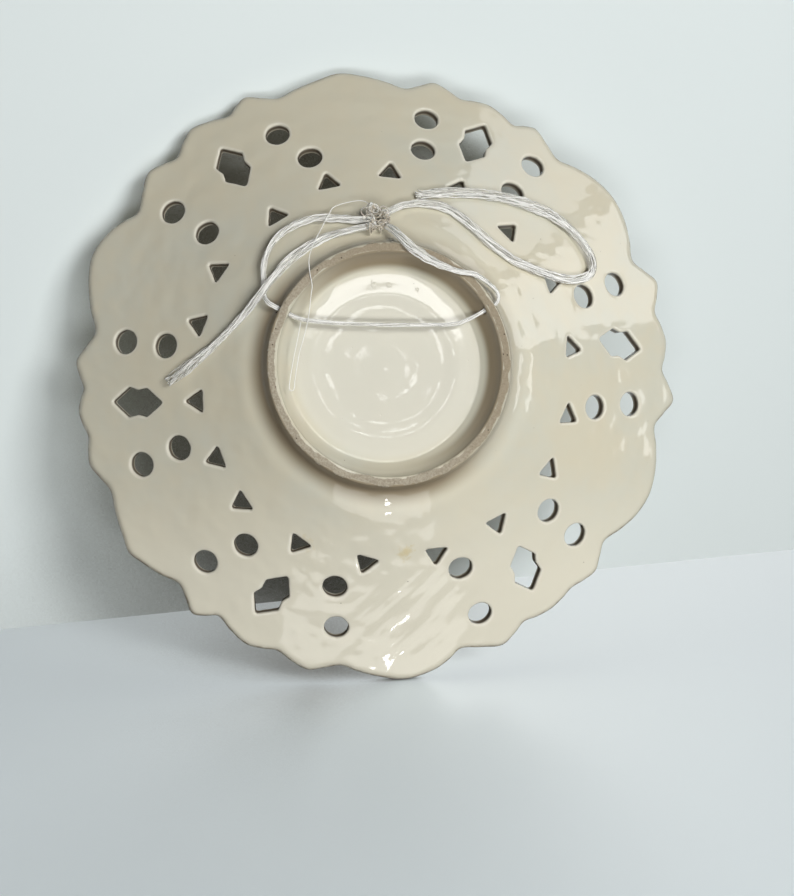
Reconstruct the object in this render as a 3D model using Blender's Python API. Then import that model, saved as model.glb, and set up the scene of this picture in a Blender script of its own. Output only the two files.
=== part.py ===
"""A pierced wall plate: one fired dish with a scalloped rim, hand-cut openings and a foot ring
on its back, and the film twine that it hangs by. Metres, +Z up. The plate hangs upright with its
back towards -Y: the foot ring rests against the wall plane y = 0, and the dish opens towards +Y.
The origin is on the ring's bare rim, at its highest point."""

import math

import bmesh
import bpy
import numpy as np
from mathutils import Matrix, Vector
from mathutils.geometry import interpolate_bezier

MM = 0.001

# Foot ring and base
RIM_INNER = 52.5 * MM
RIM_OUTER = 57.0 * MM
RIM_CHAMFER = 0.4 * MM
RING_WALL = (58.3 * MM, 4.6 * MM)
COVE_PULLS = ((59.0 * MM, 8.6 * MM), (66.0 * MM, 10.1 * MM))
COVE_STEPS = 5
BASE_RADIUS = 45.5 * MM
BASE_DEPTH = 11.0 * MM
BASE_PULLS = ((51.9 * MM, 5.0 * MM), (48.5 * MM, 8.0 * MM))
BASE_STEPS = 4
CENTRE_Z = -(RIM_INNER + RIM_OUTER) / 2

# Dish: the back of the flank rises from the wall by a slope that eases towards the rim
FLANK_START = 72.0 * MM
FLANK_DEPTH = 14.0 * MM
FLANK_SLOPE = 0.635
SLOPE_EASE = 2.1
FLANK_RINGS = (86.0 * MM, 104.0 * MM, 128.0 * MM)
THICKNESS = 5.8 * MM
WELL_RADIUS = 46.0 * MM
WELL_DEPTH = 17.0 * MM
WELL_PULLS = ((68.0 * MM, 18.3 * MM), (60.0 * MM, WELL_DEPTH))
WELL_STEPS = 4
BLANK_RADIUS = 158.0 * MM
TURN_STEPS = 72
SHARP_EDGE = 35.0

# Scalloped rim: radius at angles from a motif's axis, the same on both sides of it
SCALLOP = (
    ("middle bump", 0.0, 149.0),
    ("bump side", 3.2, 147.4),
    ("first dip", 5.9, 145.5),
    ("rise", 8.6, 148.2),
    ("side bump", 11.7, 150.5),
    ("fall", 14.4, 146.8),
    ("second dip", 17.3, 143.5),
    ("shoulder", 21.0, 146.5),
    ("lobe", 25.5, 149.9),
)
LOBE_CREST = 151.5
RIM_STEPS = 144
RIM_CUT = (-20.0 * MM, 100.0 * MM)

# Six motifs, anticlockwise seen from the back. Each was marked and cut by hand: the angle of its
# axis, how far out it sits from its nominal place (mm), and the lean of its long opening (degrees)
MOTIFS = (
    (7.0, -0.5, -14.0),
    (67.5, 2.5, -5.0),
    (127.5, 0.5, -5.0),
    (187.7, -2.0, -9.0),
    (244.0, 0.5, -12.0),
    (306.5, -0.5, -12.0),
)

# The trimming knife's wander, in mm: at each motif's second dip, side bump, first dip and middle,
# then the same three on its other side, and at the lobe that follows. The dips and bumps listed
# in TURNED also sit this many degrees from their nominal place
TRIM = (
    (0.0, 2.0, 0.0, 0.0, 0.0, 1.0, -1.0),
    (-1.0, -1.5, -1.5, -1.0, 0.0, 0.0, 1.0),
    (3.0, 3.0, 3.0, 4.5, 1.0, 1.0, -0.5),
    (-2.5, -1.5, 0.0, 0.0, 1.0, -1.0, 1.0),
    (0.0, 0.0, -1.5, 0.5, 1.0, 1.0, 3.0),
    (0.0, -0.5, -1.0, -2.0, 0.0, -2.0, -1.5),
)
LOBE_TRIM = (0.0, 1.5, 1.5, 0.5, 1.8, 0.3)
TURNED = {
    (1, "side bump", -1): 1.5,
    (2, "first dip", -1): -1.3,
    (2, "second dip", 1): 2.0,
    (3, "second dip", -1): 1.8,
    (3, "side bump", -1): 2.0,
    (3, "first dip", -1): 1.5,
    (3, "first dip", 1): -1.0,
    (3, "side bump", 1): -1.4,
    (3, "second dip", 1): -1.0,
    (4, "first dip", -1): -1.5,
    (4, "side bump", 1): 1.0,
    (4, "second dip", 1): 1.5,
    (5, "second dip", -1): -2.5,
}

# Openings of one motif: kind, radius of its place, angle either side of the axis
OPENINGS = (
    ("long", 121.5, (0.0,)),
    ("outer round", 127.0, (-13.9, 13.9)),
    ("inner round", 107.3, (-13.6, 13.6)),
    ("near corner", 93.4, (0.0,)),
    ("side corner", 93.6, (-20.7, 20.7)),
)

# Openings that were cut away from their marks: (motif, kind, side): (degrees, mm outwards)
WANDER = {
    (0, "inner round", -1): (-2.8, 0.0),
    (1, "outer round", 1): (-1.7, -1.0),
    (1, "inner round", 1): (-1.6, 1.0),
    (1, "side corner", -1): (1.3, -5.0),
    (2, "long", 0): (-1.5, 1.5),
    (2, "inner round", -1): (-5.0, 2.0),
    (2, "inner round", 1): (1.2, 0.0),
    (2, "outer round", 1): (1.3, 0.5),
    (2, "near corner", 0): (-1.7, -4.0),
    (2, "side corner", 1): (1.6, -1.5),
    (3, "near corner", 0): (2.5, 0.0),
    (4, "inner round", -1): (1.7, 0.0),
    (4, "outer round", -1): (-2.6, -1.0),
    (4, "outer round", 1): (2.3, 0.0),
    (5, "inner round", -1): (-1.4, -3.0),
    (5, "outer round", -1): (0.0, 3.0),
    (5, "side corner", 1): (1.9, 1.5),
}

ROUND_RADIUS = 6.0 * MM
ROUND_STEPS = 16
CORNER_RADIUS = 6.9 * MM
CORNER_ROUNDING = 1.1 * MM
LONG_TIP = 14.0 * MM
LONG_SHOULDER = (4.8 * MM, 7.5 * MM)
LONG_NOTCH = (-0.4 * MM, 6.0 * MM)
LONG_HIP = (-5.2 * MM, 7.1 * MM)
LONG_ROUNDING = 1.2 * MM
CUT_LEAN = 0.7
CUT_BEFORE = 10.0 * MM
CUT_BEYOND = 17.0 * MM

# Hanging cord
CORD_DIAMETER = 2.0 * MM
TAIL_DIAMETER = 2.8 * MM
CORD_HOLE_ANGLES = (30.0, 153.5)
CORD_HOLE_RADIUS = 1.6 * MM
CORD_HOLE_DEPTH = 3.4 * MM
CORD_HOLE_SPAN = (45.0 * MM, 66.0 * MM)
CORD_HOLE_STEPS = 12
CORD_STEPS = (66, 14, 24)
KNOT_CENTRE = (-2.8, 7.0, 69.3)
KNOT_SIZE = (5.8 * MM, 3.6 * MM, 6.2 * MM)
KNOT_STEPS = (14, 8)
CURVE_STEPS = 12

# Cord routes: x, distance from the wall and height above the plate's centre, in mm. The loop leaves
# the knot to the left, lies on the flank, goes through the foot ring, crosses the base, comes out
# through the ring again and returns to the knot over the ring's rim. The tails lie on the flank.
LOOP_ROUTE = (
    (-8.9, 8.2, 68.8),
    (-17.5, 10.1, 69.3),
    (-25.5, 11.8, 69.8),
    (-34.5, 13.4, 69.6),
    (-44.5, 14.4, 66.3),
    (-52.3, 14.2, 60.3),
    (-56.8, 13.2, 52.8),
    (-58.4, 12.0, 45.5),
    (-58.4, 10.8, 38.8),
    (-58.3, 8.6, 33.3),
    (-56.4, 4.8, 28.8),
    (-51.6, 3.4, 25.6),
    (-47.0, 3.4, 23.4),
    (-43.0, 3.4, 21.6),
    (-37.0, 3.4, 20.3),
    (-25.0, 3.4, 19.3),
    (-10.0, 3.4, 18.8),
    (6.0, 3.4, 18.8),
    (22.0, 3.4, 19.0),
    (32.0, 3.4, 19.8),
    (39.5, 3.4, 22.9),
    (45.4, 3.4, 26.2),
    (48.4, 3.4, 27.9),
    (50.9, 3.4, 29.7),
    (51.9, 3.4, 32.2),
    (51.1, 3.2, 34.8),
    (48.8, 2.4, 37.1),
    (44.7, 0.4, 39.9),
    (39.4, -1.6, 42.4),
    (33.0, -1.7, 43.4),
    (26.0, -1.7, 45.6),
    (18.0, -1.7, 49.2),
    (9.8, -1.8, 54.6),
    (5.9, -1.0, 58.6),
    (3.4, 1.2, 61.6),
    (1.7, 3.3, 63.6),
    (0.5, 4.6, 64.7),
)
LEFT_TAIL_ROUTE = (
    (-8.2, 6.0, 65.6),
    (-18.0, 7.0, 63.3),
    (-27.5, 7.9, 60.8),
    (-38.0, 8.1, 55.4),
    (-47.2, 7.4, 48.2),
    (-52.4, 6.0, 42.4),
    (-57.4, 5.5, 36.2),
    (-63.0, 7.3, 28.8),
    (-69.0, 11.1, 22.0),
    (-75.5, 14.7, 15.6),
    (-84.0, 19.1, 7.6),
    (-93.4, 24.4, 0.0),
    (-103.0, 30.2, -8.0),
)
RIGHT_TAIL_ROUTE = (
    (0.9, 9.9, 73.4),
    (8.5, 13.7, 77.0),
    (18.5, 16.4, 78.6),
    (28.4, 17.4, 77.0),
    (36.0, 16.7, 72.4),
    (42.8, 15.5, 66.4),
    (49.6, 15.0, 60.2),
    (59.6, 16.2, 53.2),
    (70.0, 19.5, 49.0),
    (80.0, 23.5, 46.2),
    (90.0, 28.0, 44.8),
    (98.6, 32.2, 45.8),
    (104.2, 35.7, 50.0),
    (104.6, 37.7, 57.0),
    (98.6, 38.0, 66.6),
    (88.6, 36.8, 75.0),
    (77.8, 34.6, 80.2),
    (64.6, 31.3, 83.6),
    (51.6, 27.9, 85.2),
    (38.8, 24.6, 85.7),
    (26.2, 21.5, 84.8),
    (14.6, 18.4, 82.4),
)


def clear_scene():
    for old in list(bpy.data.objects):
        bpy.data.objects.remove(old, do_unlink=True)


def material(name, colour, roughness, transmission=0.0):
    made = bpy.data.materials.new(name)
    made.use_nodes = True
    shader = made.node_tree.nodes["Principled BSDF"]
    shader.inputs["Base Color"].default_value = (*colour, 1.0)
    shader.inputs["Roughness"].default_value = roughness
    shader.inputs["Transmission Weight"].default_value = transmission
    return made


def mesh_object(name, bm, finish=None):
    mesh = bpy.data.meshes.new(name)
    bm.to_mesh(mesh)
    bm.free()
    made = bpy.data.objects.new(name, mesh)
    bpy.context.scene.collection.objects.link(made)
    if finish:
        mesh.materials.append(finish)
    return made


def hide_cutter(cutter):
    cutter.hide_render = True
    cutter.display_type = "WIRE"


def cut(target, cutter, operation):
    step = target.modifiers.new(cutter.name, "BOOLEAN")
    step.operation = operation
    step.solver = "EXACT"
    step.object = cutter


def curve_through(start, first_pull, last_pull, end, steps):
    """Points of a Bezier curve in the plane of the plate's profile."""
    corners = [Vector((*p, 0.0)) for p in (start, first_pull, last_pull, end)]
    return [(p.x, p.y) for p in interpolate_bezier(*corners, steps + 1)]


def flank_slope(radius):
    return FLANK_SLOPE - SLOPE_EASE * (radius - FLANK_START)


def flank_depth(radius):
    """Distance from the wall to the back of the flank."""
    out = radius - FLANK_START
    return FLANK_DEPTH + FLANK_SLOPE * out - SLOPE_EASE * out * out / 2


def cove():
    """The hollow curve from the foot ring's outer wall into the flank."""
    return curve_through(RING_WALL, *COVE_PULLS, (FLANK_START, FLANK_DEPTH), COVE_STEPS)


def base_wall():
    """The inside of the foot ring, steep at its rim and hollow, down to the edge of the base."""
    rim, edge = (RIM_INNER, RIM_CHAMFER), (BASE_RADIUS, BASE_DEPTH)
    return curve_through(rim, *BASE_PULLS, edge, BASE_STEPS)


def back_profile():
    ring = [(0.0, BASE_DEPTH)]
    ring += reversed(base_wall())
    ring += [(RIM_INNER + RIM_CHAMFER, 0.0)]
    ring += [(RIM_OUTER - RIM_CHAMFER, 0.0), (RIM_OUTER, RIM_CHAMFER)]
    flank = [(radius, flank_depth(radius)) for radius in (*FLANK_RINGS, BLANK_RADIUS)]
    return ring + cove() + flank


def front_profile():
    flank = []
    for radius in (BLANK_RADIUS, *reversed(FLANK_RINGS), FLANK_START):
        thick = THICKNESS * math.hypot(1.0, flank_slope(radius))
        flank.append((radius, flank_depth(radius) + thick))
    well = curve_through(flank.pop(), *WELL_PULLS, (WELL_RADIUS, WELL_DEPTH), WELL_STEPS)
    return flank + well + [(0.0, WELL_DEPTH)]


def turned(profile):
    """Spins a profile of (radius, depth), which starts and ends on the axis, into a solid."""
    bm = bmesh.new()
    rings = []
    for radius, depth in profile:
        if radius == 0.0:
            rings.append([bm.verts.new((0.0, depth, CENTRE_Z))])
            continue
        ring = []
        for step in range(TURN_STEPS):
            angle = math.tau * step / TURN_STEPS
            place = (radius * math.cos(angle), depth, CENTRE_Z + radius * math.sin(angle))
            ring.append(bm.verts.new(place))
        rings.append(ring)
    for near, far in zip(rings, rings[1:]):
        for step in range(TURN_STEPS):
            after = (step + 1) % TURN_STEPS
            corners = [near[step % len(near)], near[after % len(near)]]
            corners += [far[after % len(far)], far[step % len(far)]]
            bm.faces.new(list(dict.fromkeys(corners)))
    bmesh.ops.recalc_face_normals(bm, faces=bm.faces)
    return bm


def motif_wander(number, side):
    """How far each named point of a motif's side is turned and raised by the hand trimming.
    The knife set every second point. Those between take the mean of their neighbours."""
    lobe = LOBE_TRIM[number if side > 0 else number - 1]
    raised = [*(TRIM[number][3:] if side > 0 else TRIM[number][3::-1]), lobe / 2]
    turned = [TURNED.get((number, name, side), 0.0) for name, _, _ in SCALLOP[::2]]
    set_points = range(0, len(SCALLOP), 2)
    every = range(len(SCALLOP))
    return np.interp(every, set_points, turned), np.interp(every, set_points, raised)


def scallop_knots():
    """Angle and radius of each named point round the rim, with the trimming's wander."""
    knots = []
    for number, (axis, _, _) in enumerate(MOTIFS):
        for side in (-1, 1):
            for (_, offset, radius), turned, raised in zip(SCALLOP, *motif_wander(number, side)):
                if offset or side > 0:
                    knots.append((axis + side * offset + turned, radius + raised))
    axes = [axis for axis, _, _ in MOTIFS]
    for here, there, raised in zip(axes, axes[1:] + [axes[0] + 360.0], LOBE_TRIM):
        knots.append(((here + there) / 2, LOBE_CREST + raised))
    return sorted((angle % 360.0, radius * MM) for angle, radius in knots)


def smooth_value(before, here, there, beyond, part):
    """Cubic through here and there, whose slopes come from their neighbours."""
    (a0, r0), (a1, r1), (a2, r2), (a3, r3) = before, here, there, beyond
    span = a2 - a1
    first = (r2 - r0) / (a2 - a0) * span
    last = (r3 - r1) / (a3 - a1) * span
    square, cube = part * part, part**3
    return (
        (2 * cube - 3 * square + 1) * r1
        + (cube - 2 * square + part) * first
        + (3 * square - 2 * cube) * r2
        + (cube - square) * last
    )


def rim_radius(angle, knots):
    """Radius of the scalloped rim at an angle in degrees."""
    count = len(knots)
    wrapped = [(a - 360.0, r) for a, r in knots] + knots + [(a + 360.0, r) for a, r in knots]
    at = count - 1
    while wrapped[at + 1][0] <= angle:
        at += 1
    here, there = wrapped[at], wrapped[at + 1]
    part = (angle - here[0]) / (there[0] - here[0])
    return smooth_value(wrapped[at - 1], here, there, wrapped[at + 2], part)


def prism(bm, outline, sweep_before, sweep_beyond):
    """Adds a closed prism that carries the outline from one end of the sweep to the other."""
    near = [bm.verts.new(point + sweep_before) for point in outline]
    far = [bm.verts.new(point + sweep_beyond) for point in outline]
    bm.faces.new(near)
    bm.faces.new(list(reversed(far)))
    for step in range(len(outline)):
        after = (step + 1) % len(outline)
        bm.faces.new((near[step], far[step], far[after], near[after]))


def rim_cutter():
    knots = scallop_knots()
    outline = []
    for step in range(RIM_STEPS):
        degrees = 360.0 * step / RIM_STEPS
        radius = rim_radius(degrees, knots)
        angle = math.radians(degrees)
        outline.append(Vector((radius * math.cos(angle), 0.0, radius * math.sin(angle) + CENTRE_Z)))
    bm = bmesh.new()
    before, beyond = RIM_CUT
    prism(bm, outline, Vector((0.0, before, 0.0)), Vector((0.0, beyond, 0.0)))
    bmesh.ops.recalc_face_normals(bm, faces=bm.faces)
    return mesh_object("rim_cutter", bm)


def rounded(corners, radius, steps):
    """A polygon's outline with every corner rounded, as (along, across) pairs."""
    outline = []
    for at, corner in enumerate(corners):
        here = Vector(corner)
        back = (Vector(corners[at - 1]) - here).normalized()
        ahead = (Vector(corners[(at + 1) % len(corners)]) - here).normalized()
        reach = radius / math.tan(back.angle(ahead) / 2)
        start, end = here + back * reach, here + ahead * reach
        for step in range(steps + 1):
            part = step / steps
            first = start.lerp(here, part)
            outline.append(tuple(first.lerp(here.lerp(end, part), part)))
    return outline


def opening_outline(kind):
    if kind.endswith("round"):
        turns = [math.tau * step / ROUND_STEPS for step in range(ROUND_STEPS)]
        return [(ROUND_RADIUS * math.cos(a), ROUND_RADIUS * math.sin(a)) for a in turns]
    if kind.endswith("corner"):
        turns = [math.tau * step / 3 for step in range(3)]
        corners = [(CORNER_RADIUS * math.cos(a), CORNER_RADIUS * math.sin(a)) for a in turns]
        return rounded(corners, CORNER_ROUNDING, 1)
    one_side = [LONG_SHOULDER, LONG_NOTCH, LONG_HIP]
    other_side = [(along, -across) for along, across in reversed(one_side)]
    corners = [(LONG_TIP, 0.0), *one_side, (-LONG_TIP, 0.0), *other_side]
    return rounded(corners, LONG_ROUNDING, 2)


def opening_places():
    """Kind, radius, angle and lean of every opening in the rim."""
    for number, (axis, outwards, lean) in enumerate(MOTIFS):
        for kind, radius, offsets in OPENINGS:
            for offset in offsets:
                side = (offset > 0) - (offset < 0)
                turn, shift = WANDER.get((number, kind, side), (0.0, 0.0))
                place = (radius + outwards + shift) * MM
                yield kind, place, math.radians(axis + offset + turn), math.radians(lean)


def piercing_cutters():
    """One prism for each opening, set square to the rim's surface but leaning to the axis."""
    bm = bmesh.new()
    for kind, radius, angle, lean in opening_places():
        slope = math.atan(flank_slope(radius))
        outward = Vector((math.cos(angle), 0.0, math.sin(angle)))
        across = Vector((-math.sin(angle), 0.0, math.cos(angle)))
        inward = Vector((0.0, 1.0, 0.0))
        along = outward * math.cos(slope) + inward * math.sin(slope)
        knife = inward * math.cos(slope * CUT_LEAN) - outward * math.sin(slope * CUT_LEAN)
        centre = outward * radius + Vector((0.0, flank_depth(radius), CENTRE_Z))
        turn = Matrix.Rotation(lean, 2)
        outline = []
        for pair in opening_outline(kind):
            u, v = turn @ Vector(pair)
            outline.append(centre + along * u + across * v)
        prism(bm, outline, -knife * CUT_BEFORE, knife * CUT_BEYOND)
    bmesh.ops.recalc_face_normals(bm, faces=bm.faces)
    return mesh_object("piercing_cutters", bm)


def cord_hole_cutters():
    """Two drilled holes through the foot ring, for the cord."""
    near, far = CORD_HOLE_SPAN
    bm = bmesh.new()
    for degrees in CORD_HOLE_ANGLES:
        angle = math.radians(degrees)
        outward = Vector((math.cos(angle), 0.0, math.sin(angle)))
        middle = outward * (near + far) / 2 + Vector((0.0, CORD_HOLE_DEPTH, CENTRE_Z))
        turn = Vector((0.0, 0.0, 1.0)).rotation_difference(outward).to_matrix().to_4x4()
        bmesh.ops.create_cone(
            bm, cap_ends=True, segments=CORD_HOLE_STEPS, radius1=CORD_HOLE_RADIUS,
            radius2=CORD_HOLE_RADIUS, depth=far - near, matrix=Matrix.Translation(middle) @ turn,
        )
    return mesh_object("cord_hole_cutters", bm)


def build_plate(glaze):
    plate = mesh_object("plate", turned(back_profile() + front_profile()), glaze)
    for cutter, operation in (
        (rim_cutter(), "INTERSECT"),
        (piercing_cutters(), "DIFFERENCE"),
        (cord_hole_cutters(), "DIFFERENCE"),
    ):
        hide_cutter(cutter)
        cut(plate, cutter, operation)
    plate.data.shade_smooth()
    plate.data.set_sharp_from_angle(angle=math.radians(SHARP_EDGE))


def route_point(x, depth, height):
    return Vector((x * MM, depth * MM, height * MM + CENTRE_Z))


def smooth_route(route, count):
    """Points evenly along a smooth curve through the route's own points."""
    own = [route_point(*point) for point in route]
    own = [own[0] * 2 - own[1], *own, own[-1] * 2 - own[-2]]
    fine = []
    for p0, p1, p2, p3 in zip(own, own[1:], own[2:], own[3:]):
        for step in range(CURVE_STEPS):
            t = step / CURVE_STEPS
            fine.append(
                (
                    p1 * 2
                    + (p2 - p0) * t
                    + (p0 * 2 - p1 * 5 + p2 * 4 - p3) * t * t
                    + (p1 * 3 - p0 - p2 * 3 + p3) * t**3
                )
                / 2
            )
    fine.append(own[-2])
    run = [0.0]
    for before, after in zip(fine, fine[1:]):
        run.append(run[-1] + (after - before).length)
    points, at = [], 0
    for step in range(count + 1):
        reach = run[-1] * step / count
        while at < len(run) - 2 and run[at + 1] < reach:
            at += 1
        part = (reach - run[at]) / (run[at + 1] - run[at])
        points.append(fine[at].lerp(fine[at + 1], part))
    return points


def build_cord(name, route, count, diameter, finish):
    curve = bpy.data.curves.new(name, "CURVE")
    curve.dimensions = "3D"
    curve.bevel_depth = diameter / 2
    curve.bevel_resolution = 2
    curve.use_fill_caps = True
    points = smooth_route(route, count)
    spline = curve.splines.new("POLY")
    spline.points.add(len(points) - 1)
    for place, point in zip(spline.points, points):
        place.co = (*point, 1.0)
    curve.materials.append(finish)
    cord = bpy.data.objects.new(name, curve)
    bpy.context.scene.collection.objects.link(cord)


def build_knot(finish):
    """The knot as one closed lump."""
    bm = bmesh.new()
    shape = Matrix.Diagonal((*KNOT_SIZE, 1.0))
    place = Matrix.Translation(route_point(*KNOT_CENTRE))
    around, along = KNOT_STEPS
    bmesh.ops.create_uvsphere(
        bm, u_segments=around, v_segments=along, radius=1.0, matrix=place @ shape
    )
    knot = mesh_object("cord_knot", bm, finish)
    knot.data.shade_smooth()


def main():
    clear_scene()
    glaze = material("cream_glaze", (0.66, 0.61, 0.52), 0.22)
    twine = material("film_twine", (0.86, 0.87, 0.85), 0.25, 0.5)
    build_plate(glaze)
    loop_count, left_count, right_count = CORD_STEPS
    build_cord("hanging_cord", LOOP_ROUTE, loop_count, CORD_DIAMETER, twine)
    build_cord("cord_tail_left", LEFT_TAIL_ROUTE, left_count, TAIL_DIAMETER, twine)
    build_cord("cord_tail_right", RIGHT_TAIL_ROUTE, right_count, TAIL_DIAMETER, twine)
    build_knot(twine)


main()
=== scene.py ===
"""The looks of a pierced wall plate and its film twine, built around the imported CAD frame.

The plate is worked out in millimetres, as x to the right, height z above the plate's centre and
depth from the wall plane, seen from the back. to_frame() turns that into the row frame's metres.
Angles run anticlockwise from +x, seen from the back."""

import math

import bmesh
import bpy
import numpy as np
from mathutils import Matrix, Vector, noise
from mathutils.geometry import delaunay_2d_cdt


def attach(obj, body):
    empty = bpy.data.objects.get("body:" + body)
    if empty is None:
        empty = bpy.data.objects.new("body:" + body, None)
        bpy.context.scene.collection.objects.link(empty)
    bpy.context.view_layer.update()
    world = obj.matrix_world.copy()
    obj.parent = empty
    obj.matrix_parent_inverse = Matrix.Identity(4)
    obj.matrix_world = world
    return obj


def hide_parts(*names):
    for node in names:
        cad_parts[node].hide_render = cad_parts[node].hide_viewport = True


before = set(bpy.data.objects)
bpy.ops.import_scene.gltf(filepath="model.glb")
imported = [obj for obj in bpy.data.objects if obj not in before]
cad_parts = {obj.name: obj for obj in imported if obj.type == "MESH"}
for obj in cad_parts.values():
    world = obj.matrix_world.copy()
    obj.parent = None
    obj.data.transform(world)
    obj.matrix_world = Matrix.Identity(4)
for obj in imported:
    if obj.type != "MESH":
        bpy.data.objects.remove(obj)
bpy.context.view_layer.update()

MM = 0.001
CENTRE_Z = -54.75

# The plate's sizes, as in the CAD source
RIM_INNER = (52.5, 0.55)
RIM_INNER_EDGE = ((52.62, 0.25), (52.9, 0.06))
RIM_FLAT = (53.3, 54.1, 54.9, 55.7, 56.3)
RIM_OUTER_EDGE = ((56.7, 0.08), (56.93, 0.28), (57.05, 0.6), (57.35, 1.7), (57.8, 3.1))
RING_WALL = (58.3, 4.6)
COVE_PULLS = ((59.0, 8.6), (66.0, 10.1))
BASE_RADIUS = 45.5
BASE_DEPTH = 11.0
BASE_PULLS = ((51.9, 5.0), (48.5, 8.0))
BASE_SHIFT = -1.4
CREASE = 1.3
FLANK_START = 72.0
FLANK_DEPTH = 14.0
FLANK_SLOPE = 0.635
SLOPE_EASE = 0.0021
THICKNESS = 5.8
WELL_RADIUS = 46.0
WELL_DEPTH = 17.0
WELL_PULLS = ((68.0, 18.3), (60.0, WELL_DEPTH))

SCALLOP = (
    ("middle bump", 0.0, 149.0),
    ("bump side", 3.2, 147.4),
    ("first dip", 5.9, 145.5),
    ("rise", 8.6, 148.2),
    ("side bump", 11.7, 150.5),
    ("fall", 14.4, 146.8),
    ("second dip", 17.3, 143.5),
    ("shoulder", 21.0, 146.5),
    ("lobe", 25.5, 149.9),
)
LOBE_CREST = 151.5
# Axis angle, outward shift and lean of the long opening, for each of the six hand-cut motifs
MOTIFS = (
    (7.0, -0.5, -14.0),
    (67.5, 2.5, -5.0),
    (127.5, 0.5, -5.0),
    (187.7, -2.0, -9.0),
    (244.0, 0.5, -12.0),
    (306.5, -0.5, -12.0),
)
# The trimming knife's wander, in mm: at each motif's second dip, side bump, first dip and middle,
# then the same three on its other side, and at the lobe that follows. The dips and bumps listed
# in TURNED also sit this many degrees from their nominal place
TRIM = (
    (0.0, 2.0, 0.0, 0.0, 0.0, 1.0, -1.0),
    (-1.0, -1.5, -1.5, -1.0, 0.0, 0.0, 1.0),
    (3.0, 3.0, 3.0, 4.5, 1.0, 1.0, -0.5),
    (-2.5, -1.5, 0.0, 0.0, 1.0, -1.0, 1.0),
    (0.0, 0.0, -1.5, 0.5, 1.0, 1.0, 3.0),
    (0.0, -0.5, -1.0, -2.0, 0.0, -2.0, -1.5),
)
LOBE_TRIM = (0.0, 1.5, 1.5, 0.5, 1.8, 0.3)
TURNED = {
    (1, "side bump", -1): 1.5,
    (2, "first dip", -1): -1.3,
    (2, "second dip", 1): 2.0,
    (3, "second dip", -1): 1.8,
    (3, "side bump", -1): 2.0,
    (3, "first dip", -1): 1.5,
    (3, "first dip", 1): -1.0,
    (3, "side bump", 1): -1.4,
    (3, "second dip", 1): -1.0,
    (4, "first dip", -1): -1.5,
    (4, "side bump", 1): 1.0,
    (4, "second dip", 1): 1.5,
    (5, "second dip", -1): -2.5,
}
OPENINGS = (
    ("long", 121.5, (0.0,)),
    ("outer round", 127.0, (-13.9, 13.9)),
    ("inner round", 107.3, (-13.6, 13.6)),
    ("near corner", 93.4, (0.0,)),
    ("side corner", 93.6, (-20.7, 20.7)),
)
WANDER = {
    (0, "inner round", -1): (-2.8, 0.0),
    (1, "outer round", 1): (-1.7, -1.0),
    (1, "inner round", 1): (-1.6, 1.0),
    (1, "side corner", -1): (1.3, -5.0),
    (2, "long", 0): (-1.5, 1.5),
    (2, "inner round", -1): (-5.0, 2.0),
    (2, "inner round", 1): (1.2, 0.0),
    (2, "outer round", 1): (1.3, 0.5),
    (2, "near corner", 0): (-1.7, -4.0),
    (2, "side corner", 1): (1.6, -1.5),
    (3, "near corner", 0): (2.5, 0.0),
    (4, "inner round", -1): (1.7, 0.0),
    (4, "outer round", -1): (-2.6, -1.0),
    (4, "outer round", 1): (2.3, 0.0),
    (5, "inner round", -1): (-1.4, -3.0),
    (5, "outer round", -1): (0.0, 3.0),
    (5, "side corner", 1): (1.9, 1.5),
}
ROUND_RADIUS = 6.0
CORNER_RADIUS = 6.9
CORNER_ROUNDING = 1.1
LONG_TIP = 14.0
LONG_SHOULDER = (4.8, 7.5)
LONG_NOTCH = (-0.4, 6.0)
LONG_HIP = (-5.2, 7.1)
LONG_ROUNDING = 1.2
CUT_LEAN = 0.7
CORD_HOLE_ANGLES = (30.0, 153.5)
CORD_HOLE_RADIUS = 1.6
CORD_HOLE_DEPTH = 3.4
CORD_HOLE_SPAN = (45.0, 66.0)

# The glaze's rounding of cut edges, and how finely the surfaces are divided
OPENING_ROUNDING = 0.9
RIM_ROUNDING = 2.3
ROUNDING_TURNS = (30.0, 60.0, 90.0)
WALL_ROWS = 4
PROFILE_STEPS = 12
FLANK_ROW = 74.0
SEAM_RADIUS = 76.0
SEAM_STEPS = 288
CELL = 2.4
CELL_ROW = 0.866
CELL_REACH = 152.0
RIM_SPACING = 1.15
OPENING_SPACING = 0.95
EDGE_BAND = 1.1
EDGE_CLEARANCE = 1.3
RIM_ZONE = 132.0
FAR = 30.0
# The wobble that the knife leaves in an opening's outline: its height in mm, and its rate per mm
WOBBLE_HEIGHT = 0.16
WOBBLE_RATE = 0.35

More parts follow.
